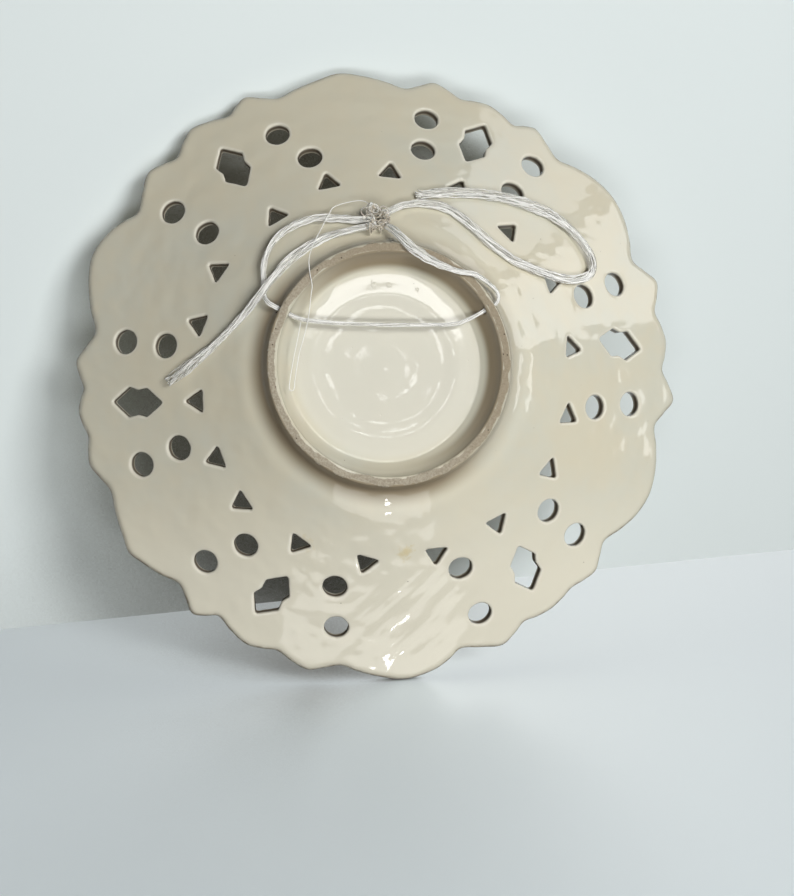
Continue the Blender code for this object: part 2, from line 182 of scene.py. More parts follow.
# Cord routes, as x, depth and z in mm. They repeat the CAD cords' own points
CORD_DIAMETER = 2.0
TAIL_DIAMETER = 2.8
LOOP_ROUTE = (
    (-8.9, 8.2, 68.8),
    (-17.5, 10.1, 69.3),
    (-25.5, 11.8, 69.8),
    (-34.5, 13.4, 69.6),
    (-44.5, 14.4, 66.3),
    (-52.3, 14.2, 60.3),
    (-56.8, 13.2, 52.8),
    (-58.4, 12.0, 45.5),
    (-58.4, 10.8, 38.8),
    (-58.3, 8.6, 33.3),
    (-56.4, 4.8, 28.8),
    (-51.6, 3.4, 25.6),
    (-47.0, 3.4, 23.4),
    (-43.0, 3.4, 21.6),
    (-37.0, 3.4, 20.3),
    (-25.0, 3.4, 19.3),
    (-10.0, 3.4, 18.8),
    (6.0, 3.4, 18.8),
    (22.0, 3.4, 19.0),
    (32.0, 3.4, 19.8),
    (39.5, 3.4, 22.9),
    (45.4, 3.4, 26.2),
    (48.4, 3.4, 27.9),
    (50.9, 3.4, 29.7),
    (51.9, 3.4, 32.2),
    (51.1, 3.2, 34.8),
    (48.8, 2.4, 37.1),
    (44.7, 0.4, 39.9),
    (39.4, -1.6, 42.4),
    (33.0, -1.7, 43.4),
    (26.0, -1.7, 45.6),
    (18.0, -1.7, 49.2),
    (9.8, -1.8, 54.6),
    (5.9, -1.0, 58.6),
    (3.4, 1.2, 61.6),
    (1.7, 3.3, 63.6),
    (0.5, 4.6, 64.7),
)
LEFT_TAIL_ROUTE = (
    (-8.2, 6.0, 65.6),
    (-18.0, 7.0, 63.3),
    (-27.5, 7.9, 60.8),
    (-38.0, 8.1, 55.4),
    (-47.2, 7.4, 48.2),
    (-52.4, 6.0, 42.4),
    (-57.4, 5.5, 36.2),
    (-63.0, 7.3, 28.8),
    (-69.0, 11.1, 22.0),
    (-75.5, 14.7, 15.6),
    (-84.0, 19.1, 7.6),
    (-93.4, 24.4, 0.0),
    (-103.0, 30.2, -8.0),
)
RIGHT_TAIL_ROUTE = (
    (0.9, 9.9, 73.4),
    (8.5, 13.7, 77.0),
    (18.5, 16.4, 78.6),
    (28.4, 17.4, 77.0),
    (36.0, 16.7, 72.4),
    (42.8, 15.5, 66.4),
    (49.6, 15.0, 60.2),
    (59.6, 16.2, 53.2),
    (70.0, 19.5, 49.0),
    (80.0, 23.5, 46.2),
    (90.0, 28.0, 44.8),
    (98.6, 32.2, 45.8),
    (104.2, 35.7, 50.0),
    (104.6, 37.7, 57.0),
    (98.6, 38.0, 66.6),
    (88.6, 36.8, 75.0),
    (77.8, 34.6, 80.2),
    (64.6, 31.3, 83.6),
    (51.6, 27.9, 85.2),
    (38.8, 24.6, 85.7),
    (26.2, 21.5, 84.8),
    (14.6, 18.4, 82.4),
)
KNOT_CENTRE = (-5.6, 7.0, 69.9)
KNOT_SIZE = (9.2, 4.2, 8.4)
# One fine filament that has come out of the twine, looped down and back up
HAIR_ROUTE = (
    (-6.8, 9.0, 75.0),
    (-12.8, 12.8, 78.6),
    (-24.2, 13.6, 76.0),
    (-27.7, 12.1, 71.8),
    (-31.6, 8.6, 64.0),
    (-34.6, 5.0, 57.9),
    (-37.5, 0.8, 49.6),
    (-37.3, -0.8, 42.1),
    (-36.2, 0.2, 36.5),
    (-36.6, 0.9, 32.1),
    (-37.6, 1.0, 23.1),
    (-38.5, 1.0, 18.0),
    (-40.4, 1.0, 10.6),
    (-42.2, 1.2, 4.0),
    (-43.8, 1.9, -6.0),
    (-44.2, 2.2, -10.4),
    (-44.8, 2.3, -12.4),
    (-46.1, 2.3, -12.4),
    (-46.6, 2.2, -10.2),
    (-44.9, 1.9, 1.0),
    (-42.9, 1.5, 11.0),
    (-41.3, 1.2, 19.5),
)
HAIR_DIAMETER = 0.42

# The film fibres of the twine. Sizes along a cord are distance, width and thickness in mm
FIBRES = 24
FIBRE_STEP = 1.1
FILM_SIDES = 6
FILM_HALF_WIDTH = (0.16, 0.42)
FILM_HALF_THICK = 0.09
GOLDEN_TURN = math.radians(137.5)
KNOT_GRIP = 12.0
KNOT_PULL = 2.6
CRIMP = 0.055
CRIMP_SIZES = (3.4, 4.3)
OUTWARD_PULL = 0.12
# How a fibre wanders along its cord, as (amount, size in mm)
TURN_DRIFT = (1.1, 34.0)
REACH_DRIFT = (0.22, 17.0)
ROLL_DRIFT = (1.5, 11.0)
# At a frayed end: the share of the fray that a fibre falls short by, and how far it parts, in mm
FRAY_SHORT = (-0.3, 0.6)
FRAY_ACROSS = (-2.0, 2.0)
FRAY_OUTWARD = (-0.7, 0.4)
LOOP_SIZES = (
    (0, 3.0, 1.8), (20, 3.6, 1.9), (36, 4.0, 2.0), (52, 3.0, 1.9), (70, 2.2, 1.8), (90, 1.9, 1.8),
    (104, 1.6, 1.6), (150, 1.5, 1.5), (190, 1.5, 1.5), (206, 1.8, 1.7), (222, 3.2, 1.6),
    (236, 4.6, 1.5), (250, 4.8, 1.6), (258, 3.4, 1.7), (268, 2.6, 1.8),
)
LEFT_SIZES = (
    (0, 2.8, 1.8), (24, 4.2, 1.9), (48, 4.0, 1.9), (70, 3.8, 1.9), (88, 3.6, 1.9),
    (104, 5.0, 2.0), (118, 6.0, 2.2), (130, 6.4, 2.3),
)
RIGHT_SIZES = (
    (0, 3.0, 2.0), (26, 4.4, 1.8), (60, 4.3, 1.8), (100, 4.2, 1.8), (128, 4.6, 1.7),
    (160, 5.2, 1.6), (196, 5.6, 1.6), (222, 4.8, 1.7), (232, 3.8, 1.9),
)
# Piece, CAD node, route, sizes, twist in radians per mm, fray in mm and diameter of each cord
CORDS = (
    ("twine_loop", "hanging_cord", LOOP_ROUTE, LOOP_SIZES, 0.055, 0.0, CORD_DIAMETER),
    ("twine_tail_left", "cord_tail_left", LEFT_TAIL_ROUTE, LEFT_SIZES, 0.03, 16.0, TAIL_DIAMETER),
    ("twine_tail_right", "cord_tail_right", RIGHT_TAIL_ROUTE, RIGHT_SIZES, 0.02, 5.0, TAIL_DIAMETER),
)
CURLS = 44
CURL_STEPS = 26
CURL_RADIUS = (1.4, 2.7)
CURL_HALF_WIDTH = (0.32, 0.62)

# The hand's unevenness: seeds, and noise as (size, height) in mm
BACK_WAVES = (3.7, ((55.0, 0.55), (24.0, 0.22), (9.0, 0.055)))
FRONT_WAVES = (11.2, ((60.0, 0.5), (26.0, 0.2), (9.0, 0.05)))
BASE_WAVES = (21.9, ((13.0, 0.09),))
# The rings in the base: radius, width and depth of the raised one, then the swell in its middle,
# and the waves of the fine spiral, as (depth, radians per mm)
RAISED_RING = (34.6, 3.6, -0.58)
MIDDLE_SWELL = (0.0, 5.0, -0.20)
SPIRAL = ((0.04, 0.95), (0.012, 1.9))
# The finger strokes on the lower flank, in degrees and mm
FINGER_SLANT = 45.0
FINGER_PLACE = (12.0, -118.0)
FINGER_REACH = (46.0, 34.0)
FINGER_WIDTH = 12.0
FINGER_DEPTH = 0.28

# Glaze and clay colours, and the places of stains (x, z, size, strength) and pits (x, z, size)
CREAM = (0.652, 0.617, 0.495, 1.0)
COOL_CREAM = (0.622, 0.614, 0.522, 1.0)
WARM_CREAM = (0.665, 0.605, 0.465, 1.0)
BASE_CREAM = (0.69, 0.675, 0.595, 1.0)
# A painted highlight on the rounded lips of the openings
LIP_HIGHLIGHT = (0.76, 0.73, 0.64, 1.0)
LOW_PALE_CREAM = (0.755, 0.725, 0.61, 1.0)
STAIN_YELLOW = (0.62, 0.50, 0.22, 1.0)
THIN_BROWN = (0.36, 0.28, 0.19, 1.0)
# Brown of the painted shade on the foot ring's walls, also used to darken the bare rim to the right
WALL_BROWN = (0.27, 0.215, 0.14, 1.0)
# Painted shade on the openings' cut walls
OPENING_WALL_SHADE = (0.085, 0.06, 0.04, 1.0)
SPECK_BROWN = (0.14, 0.10, 0.07, 1.0)
BARE_DARK = (0.31, 0.27, 0.205, 1.0)
BARE_PALE = (0.42, 0.375, 0.295, 1.0)
BARE_PIT = (0.10, 0.07, 0.045, 1.0)
# Direction across the plate that sets which sides of the foot ring get painted shade
SHADE_SIDE = (0.75, 0.0, 0.66)
STAINS = (
    (10.0, -88.0, 4.5, 0.55),
    (-38.0, -84.0, 5.0, 0.35),
)
PITTED = (
    (110.0, 34.0, 7.0),
    (-60.0, 31.0, 4.0),
)
BLISTERS = (
    (-6.5, 38.5, 2.0),
    (0.6, 38.3, 1.4),
    (14.0, 36.5, 1.1),
)
BLISTER_HEIGHT = 0.16
DIMPLE_DEPTH = 0.05
PEEL_HEIGHT = 0.02
RUN_HEIGHT = 0.5
STROKE_HEIGHT = 0.45
SPECK_DEPTH = 0.05
GRAIN_HEIGHT = 0.12
PIT_DEPTH = 0.2
FILM_WHITE = (0.98, 0.98, 0.96, 1.0)
FILM_GREY = (0.78, 0.77, 0.72, 1.0)
CLEAR_BEIGE = (0.67, 0.61, 0.51, 1.0)

# The camera's place in mm from the plate's middle, and its axes to the right, up and back
CAMERA_PLACE = (-74.97, -738.61, -61.20)
CAMERA_AXES = (
    (0.99443, -0.10543, 0.0),
    (-0.00316, -0.02978, 0.99955),
    (-0.10538, -0.99398, -0.02995),
)
CAMERA_LENS = 64.29
CAMERA_SENSOR = 36.0

# The pale floor and wall behind the plate, each as its normal and a point in it, in mm
FLOOR_UP = (-0.035, -0.327, 0.944)
FLOOR_POINT = (11.9, 65.1, -206.5)
WALL_OUT = (0.156, -0.935, -0.318)
WALL_POINT = (-196.2, 141.3, -186.9)
STAGE_HALF = 3.0
FLOOR_REACH = (-0.8, 2.5)
WALL_REACH = (0.0, 2.5)
FLOOR_COLOUR = (0.53, 0.585, 0.61)
WALL_COLOUR = (0.73, 0.80, 0.815)
FLOOR_GLOW = 0.42
SHADE_COLOUR = (0.05, 0.042, 0.03, 1.0)
SHADE_REACH = 0.3
SHADE_SAMPLES = 8
LIT_DIRECTION = (0.87, 0.0, -0.5)
LIT_REACH = (0.075, 0.14)
LIT_SHARE = 0.5
WALL_SHADE = (0.05, 0.50)
FLOOR_SHADE = (0.30, 0.85)
WORLD_COLOUR = (0.82, 0.87, 0.93, 1.0)
AMBIENT_COLOUR = (0.95, 0.90, 0.82, 1.0)
WORLD_SEEN = 0.75
WORLD_LIGHT = 0.05
# Soft windows: name, place in metres, size, watts, colour and whether the gloss shows it
LIGHTS = (
    ("main_window", (0.70, -1.34, 0.18), (0.6, 0.5), 16.2, (1.0, 0.995, 0.97), False),
    ("low_window", (0.05, -1.20, -0.52), (0.9, 0.28), 8.8, (1.0, 1.0, 0.98), False),
    ("dish_light", (0.5, 1.6, 0.7), (1.0, 1.0), 20.0, (1.0, 0.99, 0.97), True),
)
# Bright panels that only the gloss shows, 1.2 m from the plate's middle: name, azimuth to the
# right of straight out, elevation, width and height in metres, and radiance
PANEL_REACH = 1.2
PANELS = (
    ("side_panel_low", 71.0, 24.0, 0.34, 0.44, 3.2),
    ("side_panel_high", 69.0, 50.0, 0.34, 0.50, 2.0),
    ("cove_panel", 68.0, 0.0, 0.10, 0.44, 3.6),
    ("cove_panel_high", 31.0, 41.0, 0.26, 0.28, 5.0),
    ("floor_panel", 7.0, -57.0, 0.84, 0.32, 1.9),
    ("floor_glint", 11.0, -59.0, 0.05, 0.05, 30.0),
    ("high_panel", 7.0, 15.5, 0.60, 0.20, 6.5),
    ("disc_panel", 5.7, 4.8, 0.05, 0.03, 6.0),
    ("left_panel", -28.0, -12.0, 0.50, 0.70, 2.6),
)


# ---------------------------------------------------------------- plate surfaces

def to_frame(x, depth, z):
    """Plate millimetres to row frame metres, as an array of points."""
    return np.column_stack([x, depth, np.asarray(z) + CENTRE_Z]) * MM


def flank_slope(radius):
    return FLANK_SLOPE - SLOPE_EASE * (radius - FLANK_START)


def flank_depth(radius):
    """Distance from the wall to the back of the flank."""
    out = radius - FLANK_START
    return FLANK_DEPTH + FLANK_SLOPE * out - SLOPE_EASE * out * out / 2


def bezier(corners, steps):
    """Points of a cubic Bezier curve, its first point left out."""
    p0, p1, p2, p3 = (np.array(p, float) for p in corners)
    t = (np.arange(1, steps + 1) / steps)[:, None]
    back = 1 - t
    return back**3 * p0 + 3 * back**2 * t * p1 + 3 * back * t**2 * p2 + t**3 * p3


def motif_wander(number, side):
    """How far each named point of a motif's side is turned and raised by the hand trimming.
    The knife set every second point. Those between take the mean of their neighbours."""
    lobe = LOBE_TRIM[number if side > 0 else number - 1]
    raised = [*(TRIM[number][3:] if side > 0 else TRIM[number][3::-1]), lobe / 2]
    turned = [TURNED.get((number, name, side), 0.0) for name, _, _ in SCALLOP[::2]]
    set_points = range(0, len(SCALLOP), 2)
    every = range(len(SCALLOP))
    return np.interp(every, set_points, turned), np.interp(every, set_points, raised)


def scallop_knots():
    """Angle and radius of each named point round the rim, with the trimming's wander."""
    knots = []
    for number, (axis, _, _) in enumerate(MOTIFS):
        for side in (-1, 1):
            for (_, offset, radius), turned, raised in zip(SCALLOP, *motif_wander(number, side)):
                if offset or side > 0:
                    knots.append((axis + side * offset + turned, radius + raised))
    axes = [axis for axis, _, _ in MOTIFS]
    for here, there, raised in zip(axes, axes[1:] + [axes[0] + 360.0], LOBE_TRIM):
        knots.append(((here + there) / 2, LOBE_CREST + raised))
    return np.array(sorted((angle % 360.0, radius) for angle, radius in knots))


def rim_radius(degrees):
    """Radius of the scalloped rim at each angle: a cubic through the named points."""
    knots = scallop_knots()
    angle = np.concatenate([knots[:, 0] - 360.0, knots[:, 0], knots[:, 0] + 360.0])
    radius = np.tile(knots[:, 1], 3)
    slope = np.gradient(radius)
    slope[1:-1] = (radius[2:] - radius[:-2]) / (angle[2:] - angle[:-2])
    at = np.searchsorted(angle, degrees, side="right") - 1
    span = angle[at + 1] - angle[at]
    t = (degrees - angle[at]) / span
    return (
        (2 * t**3 - 3 * t**2 + 1) * radius[at]
        + (t**3 - 2 * t**2 + t) * slope[at] * span
        + (3 * t**2 - 2 * t**3) * radius[at + 1]
        + (t**3 - t**2) * slope[at + 1] * span
    )


def resampled(loop, spacing):
    """The closed loop again, with points evenly along it about this far apart."""
    closed = np.vstack([loop, loop[:1]])
    run = np.concatenate([[0.0], np.cumsum(np.linalg.norm(np.diff(closed, axis=0), axis=1))])
    count = max(12, round(run[-1] / spacing))
    wanted = np.arange(count) * run[-1] / count
    return np.column_stack([np.interp(wanted, run, closed[:, axis]) for axis in (0, 1)])


def rounded(corners, radius, steps=8):
    """A polygon's outline with every corner rounded."""
    corners = np.array(corners, float)
    outline = []
    for at, here in enumerate(corners):
        back, ahead = corners[at - 1] - here, corners[(at + 1) % len(corners)] - here
        back, ahead = back / np.linalg.norm(back), ahead / np.linalg.norm(ahead)
        reach = radius / math.tan(math.acos(np.dot(back, ahead)) / 2)
        start, end = here + back * reach, here + ahead * reach
        for t in np.linspace(0.0, 1.0, steps + 1):
            outline.append((1 - t) ** 2 * start + 2 * t * (1 - t) * here + t**2 * end)
    return np.array(outline)


def opening_outline(kind):
    """One opening's outline, as (outward, across) on the flank's own slope."""
    if kind.endswith("round"):
        turns = np.radians(np.arange(0.0, 360.0, 5.0))
        return ROUND_RADIUS * np.column_stack([np.cos(turns), np.sin(turns)])
    if kind.endswith("corner"):
        turns = np.radians((0.0, 120.0, 240.0))
        corners = CORNER_RADIUS * np.column_stack([np.cos(turns), np.sin(turns)])
        return rounded(corners, CORNER_ROUNDING)
    one_side = [LONG_SHOULDER, LONG_NOTCH, LONG_HIP]
    other_side = [(along, -across) for along, across in reversed(one_side)]
    return rounded([(LONG_TIP, 0.0), *one_side, (-LONG_TIP, 0.0), *other_side], LONG_ROUNDING)


def opening_loops():
    """The outline of every opening on the back, anticlockwise, as (x, z) points."""
    loops = []
    for number, (axis, outwards, lean) in enumerate(MOTIFS):
        for kind, radius, offsets in OPENINGS:
            for offset in offsets:
                turn, shift = WANDER.get((number, kind, int(np.sign(offset))), (0.0, 0.0))
                place = radius + outwards + shift
                angle = math.radians(axis + offset + turn)
                loops.append(placed_outline(kind, place, angle, math.radians(lean)))
    return loops


def placed_outline(kind, radius, angle, lean):
    shape = resampled(opening_outline(kind), OPENING_SPACING)
    turn = np.array([[math.cos(lean), math.sin(lean)], [-math.sin(lean), math.cos(lean)]])
    shape = shape @ turn
    seed = Vector((radius * math.cos(angle), radius * math.sin(angle), 3.1))
    wobble = [WOBBLE_HEIGHT * noise.noise(Vector((*p, 0.0)) * WOBBLE_RATE + seed) for p in shape]
    shape = shape * (1 + np.array(wobble) / np.linalg.norm(shape, axis=1))[:, None]
    along = radius + shape[:, 0] * math.cos(math.atan(flank_slope(radius)))
    across = shape[:, 1]
    outward, sideways = (math.cos(angle), math.sin(angle)), (-math.sin(angle), math.cos(angle))
    loop = along[:, None] * outward + across[:, None] * sideways
    return loop if area_of(loop) > 0 else loop[::-1]


def area_of(loop):
    x, z = loop[:, 0], loop[:, 1]
    return float(np.sum(x * np.roll(z, -1) - z * np.roll(x, -1)) / 2)


def side_of(loop):
    """Unit normals that point to the right of a closed loop's direction."""
    ahead = np.roll(loop, -1, axis=0) - np.roll(loop, 1, axis=0)
    ahead /= np.linalg.norm(ahead, axis=1)[:, None]
    return np.column_stack([ahead[:, 1], -ahead[:, 0]])


def distance_to(loop, points):
    """Distance from each point to a closed loop's nearest side."""
    start = loop
    along = np.roll(loop, -1, axis=0) - start
    gap = points[:, None] - start
    part = np.clip((gap * along).sum(2) / (along**2).sum(1), 0.0, 1.0)
    return np.linalg.norm(gap - part[..., None] * along, axis=2).min(1)


def inside(loop, points):
    """Whether each point lies inside a closed loop."""
    start, end = loop, np.roll(loop, -1, axis=0)
    x, z = points[:, None, 0], points[:, None, 1]
    spans = (start[:, 1] > z) != (end[:, 1] > z)
    rise = np.where(end[:, 1] == start[:, 1], 1.0, end[:, 1] - start[:, 1])
    crossing = start[:, 0] + (z - start[:, 1]) / rise * (end[:, 0] - start[:, 0])
    return (spans & (x < crossing)).sum(1) % 2 == 1


def edge_gaps(points, rim, openings):
    """Each point's distance to the rim and to the nearest opening, with FAR for distant ones."""
    to_rim = np.full(len(points), FAR)
    near = np.linalg.norm(points, axis=1) > RIM_ZONE
    to_rim[near] = distance_to(rim, points[near])
    to_opening = np.full(len(points), FAR)
    for loop in openings:
        middle = loop.mean(axis=0)
        reach = np.linalg.norm(loop - middle, axis=1).max() + 8.0
        near = np.linalg.norm(points - middle, axis=1) < reach
        if near.any():
            to_opening[near] = np.minimum(to_opening[near], distance_to(loop, points[near]))
    return to_rim, to_opening


def rounding_drop(gap, radius):
    """How far a surface falls this near an edge that is rounded to this radius."""
    part = np.clip(1.0 - gap / radius, 0.0, 1.0)
    return radius * (1.0 - np.sqrt(1.0 - part**2))


def flank_plan(rim, openings):
    """The pierced flank as a flat triangulation: its points, its triangles and its loops' rows."""
    seam = np.radians(np.arange(SEAM_STEPS) * 360.0 / SEAM_STEPS)
    seam = SEAM_RADIUS * np.column_stack([np.cos(seam), np.sin(seam)])
    points, loops, edges = [], [], []
    for loop in (seam, rim, *openings):
        first = sum(len(p) for p in points)
        rows = np.arange(first, first + len(loop))
        points.append(loop)
        loops.append(rows)
        edges += list(zip(rows.tolist(), np.roll(rows, -1).tolist()))
    for loop, side, radius in (
        (rim, -1.0, RIM_ROUNDING),
        *((loop, 1.0, OPENING_ROUNDING) for loop in openings),
    ):
        gaps = [radius * (1 - math.cos(math.radians(turn))) for turn in ROUNDING_TURNS]
        for gap in (*gaps, gaps[-1] + EDGE_BAND):
            ring = loop + side * gap * side_of(loop)
            to_rim, to_opening = edge_gaps(ring, rim, openings)
            points.append(ring[np.minimum(to_rim, to_opening) > gap * 0.97])
    steps = int(2 * CELL_REACH / CELL)
    column, row = np.meshgrid(np.arange(steps), np.arange(int(steps / CELL_ROW)))
    grid_x = (column + 0.5 * (row % 2)) * CELL - CELL_REACH
    grid = np.column_stack([grid_x.ravel(), row.ravel() * CELL * CELL_ROW - CELL_REACH])
    radius = np.linalg.norm(grid, axis=1)
    degrees = np.degrees(np.arctan2(grid[:, 1], grid[:, 0])) % 360.0
    grid = grid[(radius > SEAM_RADIUS + 1.4) & (radius < rim_radius(degrees))]
    to_rim, to_opening = edge_gaps(grid, rim, openings)
    clear_of_rim = to_rim > RIM_ROUNDING + EDGE_BAND + EDGE_CLEARANCE
    grid = grid[clear_of_rim & (to_opening > OPENING_ROUNDING + EDGE_BAND + EDGE_CLEARANCE)]
    for loop in openings:
        grid = grid[~inside(loop, grid)]
    points.append(grid)
    flat = np.vstack(points)
    made = delaunay_2d_cdt([Vector(p) for p in flat.tolist()], edges, [], 0, 1e-6)
    own_rows = np.array([rows[0] for rows in made[3]])
    corners = own_rows[np.array(made[2])]
    return flat, kept_triangles(flat, corners, loops, openings), loops


def kept_triangles(flat, corners, loops, openings):
    """The triangles that lie on the flank, not in an opening or outside its two outlines."""
    belongs = np.full(len(flat), -1)
    for number, rows in enumerate(loops):
        belongs[rows] = number
    owner = belongs[corners]
    same = (owner[:, 0] == owner[:, 1]) & (owner[:, 1] == owner[:, 2])
    middle = flat[corners].mean(axis=1)
    keep = ~(same & (owner[:, 0] == 0))
    on_rim = same & (owner[:, 0] == 1)
    radius = np.linalg.norm(middle, axis=1)
    degrees = np.degrees(np.arctan2(middle[:, 1], middle[:, 0])) % 360.0
    keep &= ~(on_rim & (radius > rim_radius(degrees)))
    for number, loop in enumerate(openings, start=2):
        own = np.flatnonzero(same & (owner[:, 0] == number))
        keep[own[inside(loop, middle[own])]] = False
    return corners[keep]


def flank_points(flat, to_rim, to_opening):
    """Back and front points of the flank over the flat plan, their edges rounded."""
    radius = np.linalg.norm(flat, axis=1)
    outward = flat / radius[:, None]
    slope = np.arctan(flank_slope(radius))
    lean = CUT_LEAN * slope * np.clip((to_rim - 1.0) / 9.0, 0.0, 1.0)
    reach = THICKNESS / np.cos(slope - lean)
    drop = np.maximum(
        rounding_drop(to_rim, RIM_ROUNDING), rounding_drop(to_opening, OPENING_ROUNDING)
    )
    sides = []
    for shift in (drop, reach - drop):
        planar = flat - outward * (np.sin(lean) * shift)[:, None]
        sides.append(np.column_stack([planar[:, 0], flank_depth(radius) + np.cos(lean) * shift,
                                      planar[:, 1]]))
    return sides


# ---------------------------------------------------------------- turned parts

def back_profile():
    """Radius and depth of the base, foot ring and cove, from the centre out to the seam."""
    base = [(r, BASE_DEPTH) for r in np.linspace(0.0, BASE_RADIUS - CREASE, 18)]
    corner, up = (BASE_RADIUS, BASE_DEPTH), CREASE * 0.7
    edge = bezier((base[-1], corner, corner, (BASE_RADIUS + up, BASE_DEPTH - up)), 5).tolist()
    wall = bezier((RIM_INNER, *BASE_PULLS, (BASE_RADIUS, BASE_DEPTH)), PROFILE_STEPS)
    wall = edge + [row for row in wall[::-1].tolist() if row[0] > edge[-1][0] + 0.3]
    rim = [RIM_INNER, *RIM_INNER_EDGE, *((r, 0.0) for r in RIM_FLAT), *RIM_OUTER_EDGE, RING_WALL]
    cove = bezier((RING_WALL, *COVE_PULLS, (FLANK_START, FLANK_DEPTH)), PROFILE_STEPS).tolist()
    return base + wall + rim + cove + [(FLANK_ROW, flank_depth(FLANK_ROW))]


def front_profile():
    """Radius and depth of the dish's well, from the centre out to the seam."""
    floor = [(r, WELL_DEPTH) for r in np.linspace(0.0, WELL_RADIUS, 12)]
    thick = THICKNESS * math.hypot(1.0, FLANK_SLOPE)
    edge = (FLANK_START, FLANK_DEPTH + thick)
    inner, outer = WELL_PULLS[::-1]
    return floor + bezier((floor[-1], inner, outer, edge), PROFILE_STEPS).tolist()


def turned_rows(profile, first):
    """Points of the turned rings, and for each ring the rows of its points."""
    turns = np.radians(np.arange(SEAM_STEPS) * 360.0 / SEAM_STEPS)
    points, rings = [], []
    for radius, depth in profile:
        if radius == 0.0:
            points.append(np.array([[0.0, depth, 0.0]]))
        else:
            column = np.full(SEAM_STEPS, depth)
            points.append(np.column_stack([radius * np.cos(turns), column, radius * np.sin(turns)]))
        rings.append(np.arange(first, first + len(points[-1])))
        first += len(points[-1])
    return np.vstack(points), rings


def bridged(near, far):
    """Faces between two closed rows of points; near may be a single point."""
    faces = []
    for here in range(len(far)):
        after = (here + 1) % len(far)
        if len(near) == 1:
            faces.append((near[0], far[after], far[here]))
        else:
            faces.append((near[here], near[after], far[after], far[here]))
    return faces


# ---------------------------------------------------------------- hand-made unevenness

def waves(points, seed, steps):
    """Sum of smooth noise at each point, for steps of (size, height)."""
    total = np.zeros(len(points))
    for size, height in steps:
        shift = Vector((seed, -seed, seed * 0.5))
        total += [height * noise.noise(Vector(p) / size + shift) for p in points.tolist()]
    return total


def throwing_rings(radius, turns):
    """The rings that the potter's fingers leave: one raised round the base, and a fine spiral."""
    raised, middle = (
        depth * np.exp(-(((radius - at) / width) ** 2))
        for at, width, depth in (RAISED_RING, MIDDLE_SWELL)
    )
    coarse, fine = (depth * np.sin(radius * rate - turns) for depth, rate in SPIRAL)
    return raised + middle + (coarse + fine)


def finger_marks(x, z):
    """Slanting strokes where wet fingers smoothed the lower flank, with ridges between them."""
    slant = math.radians(FINGER_SLANT)
    across = z * math.cos(slant) - x * math.sin(slant)
    along = x * math.cos(slant) + z * math.sin(slant)
    across = across + 1.6 * np.sin(along / 17.0) + 0.8 * np.sin(along / 6.1 + 1.0)
    away = ((x - FINGER_PLACE[0]) / FINGER_REACH[0]) ** 2
    away = away + ((z - FINGER_PLACE[1]) / FINGER_REACH[1]) ** 2
    strokes = np.abs(np.sin(math.pi * across / FINGER_WIDTH))
    return FINGER_DEPTH * np.exp(-away) * (strokes - 0.64)


def uneven(points, is_back):
    """Moves the finished points in depth, as hand work and pooled glaze do."""
    radius = np.hypot(points[:, 0], points[:, 2])
    back = waves(points, *BACK_WAVES)
    front = waves(points, *FRONT_WAVES)
    ring = (radius > 50.5) & (radius < 60.0) & is_back
    back = np.where(ring, back * 0.25, back)
    base = np.clip((46.5 - radius) / 4.0, 0.0, 1.0)
    turns = np.arctan2(points[:, 2], points[:, 0])
    hand = waves(points, *BASE_WAVES)
    back = back * (1.0 - 0.35 * base) + base * (throwing_rings(radius, turns) + hand)
    flank = np.clip((radius - 62.0) / 10.0, 0.0, 1.0) * is_back
    back += flank * (0.03 * np.sin(radius * 0.5) + finger_marks(points[:, 0], points[:, 2]))
    moved = points.copy()
    moved[:, 1] += np.where(is_back, back, front)
    moved[:, 0] += BASE_SHIFT * np.clip((52.0 - radius) / 6.0, 0.0, 1.0) * is_back
    return moved


# ---------------------------------------------------------------- plate mesh

def build_plate():
    turns = np.arange(0.0, 360.0, 0.05)
    radii = rim_radius(turns)
    turns = np.radians(turns)
    rim = radii[:, None] * np.column_stack([np.cos(turns), np.sin(turns)])
    rim = resampled(rim, RIM_SPACING)
    openings = opening_loops()
    flat, triangles, loops = flank_plan(rim, openings)
    to_rim, to_opening = edge_gaps(flat, rim, openings)
    back, front = flank_points(flat, to_rim, to_opening)

    count = len(flat)
    faces = [tuple(t) for t in triangles.tolist()]
    faces += [tuple(t) for t in (triangles[:, ::-1] + count).tolist()]
    points = [back, front]
    depth_side = [np.ones(count, bool), np.zeros(count, bool)]
    first = 2 * count

    for number, rows in enumerate(loops[1:]):
        previous = rows
        for step in range(1, WALL_ROWS + 1):
            part = step / (WALL_ROWS + 1)
            points.append(back[rows] * (1 - part) + front[rows] * part)
            depth_side.append(np.full(len(rows), part < 0.5))
            current = np.arange(first, first + len(rows))
            first += len(rows)
            faces += wall_faces(previous, current, number == 0)
            previous = current
        faces += wall_faces(previous, rows + count, number == 0)

    for profile, seam, is_back in (
        (back_profile(), loops[0], True),
        (front_profile(), loops[0] + count, False),
    ):
        made, rings = turned_rows(profile, first)
        first += len(made)
        points.append(made)
        depth_side.append(np.full(len(made), is_back))
        for near, far in zip(rings, [*rings[1:], seam]):
            strip = bridged(near, far)
            faces += [tuple(reversed(f)) for f in strip] if is_back else strip

    points, is_back = np.vstack(points), np.concatenate(depth_side)
    points = uneven(points, is_back)
    mesh = bpy.data.meshes.new("glazed_plate")
    mesh.from_pydata(to_frame(*points.T).tolist(), [], [tuple(map(int, f)) for f in faces])
    mesh.validate()
    plate = bpy.data.objects.new("glazed_plate", mesh)
    bpy.context.scene.collection.objects.link(plate)
    drill_cord_holes(plate)
    mark_edges(plate, rim, openings)
    plate.data.shade_smooth()
    return plate


def wall_faces(near, far, is_rim):
    strip = bridged(near.tolist(), far.tolist())
    return [tuple(reversed(f)) for f in strip] if is_rim else strip


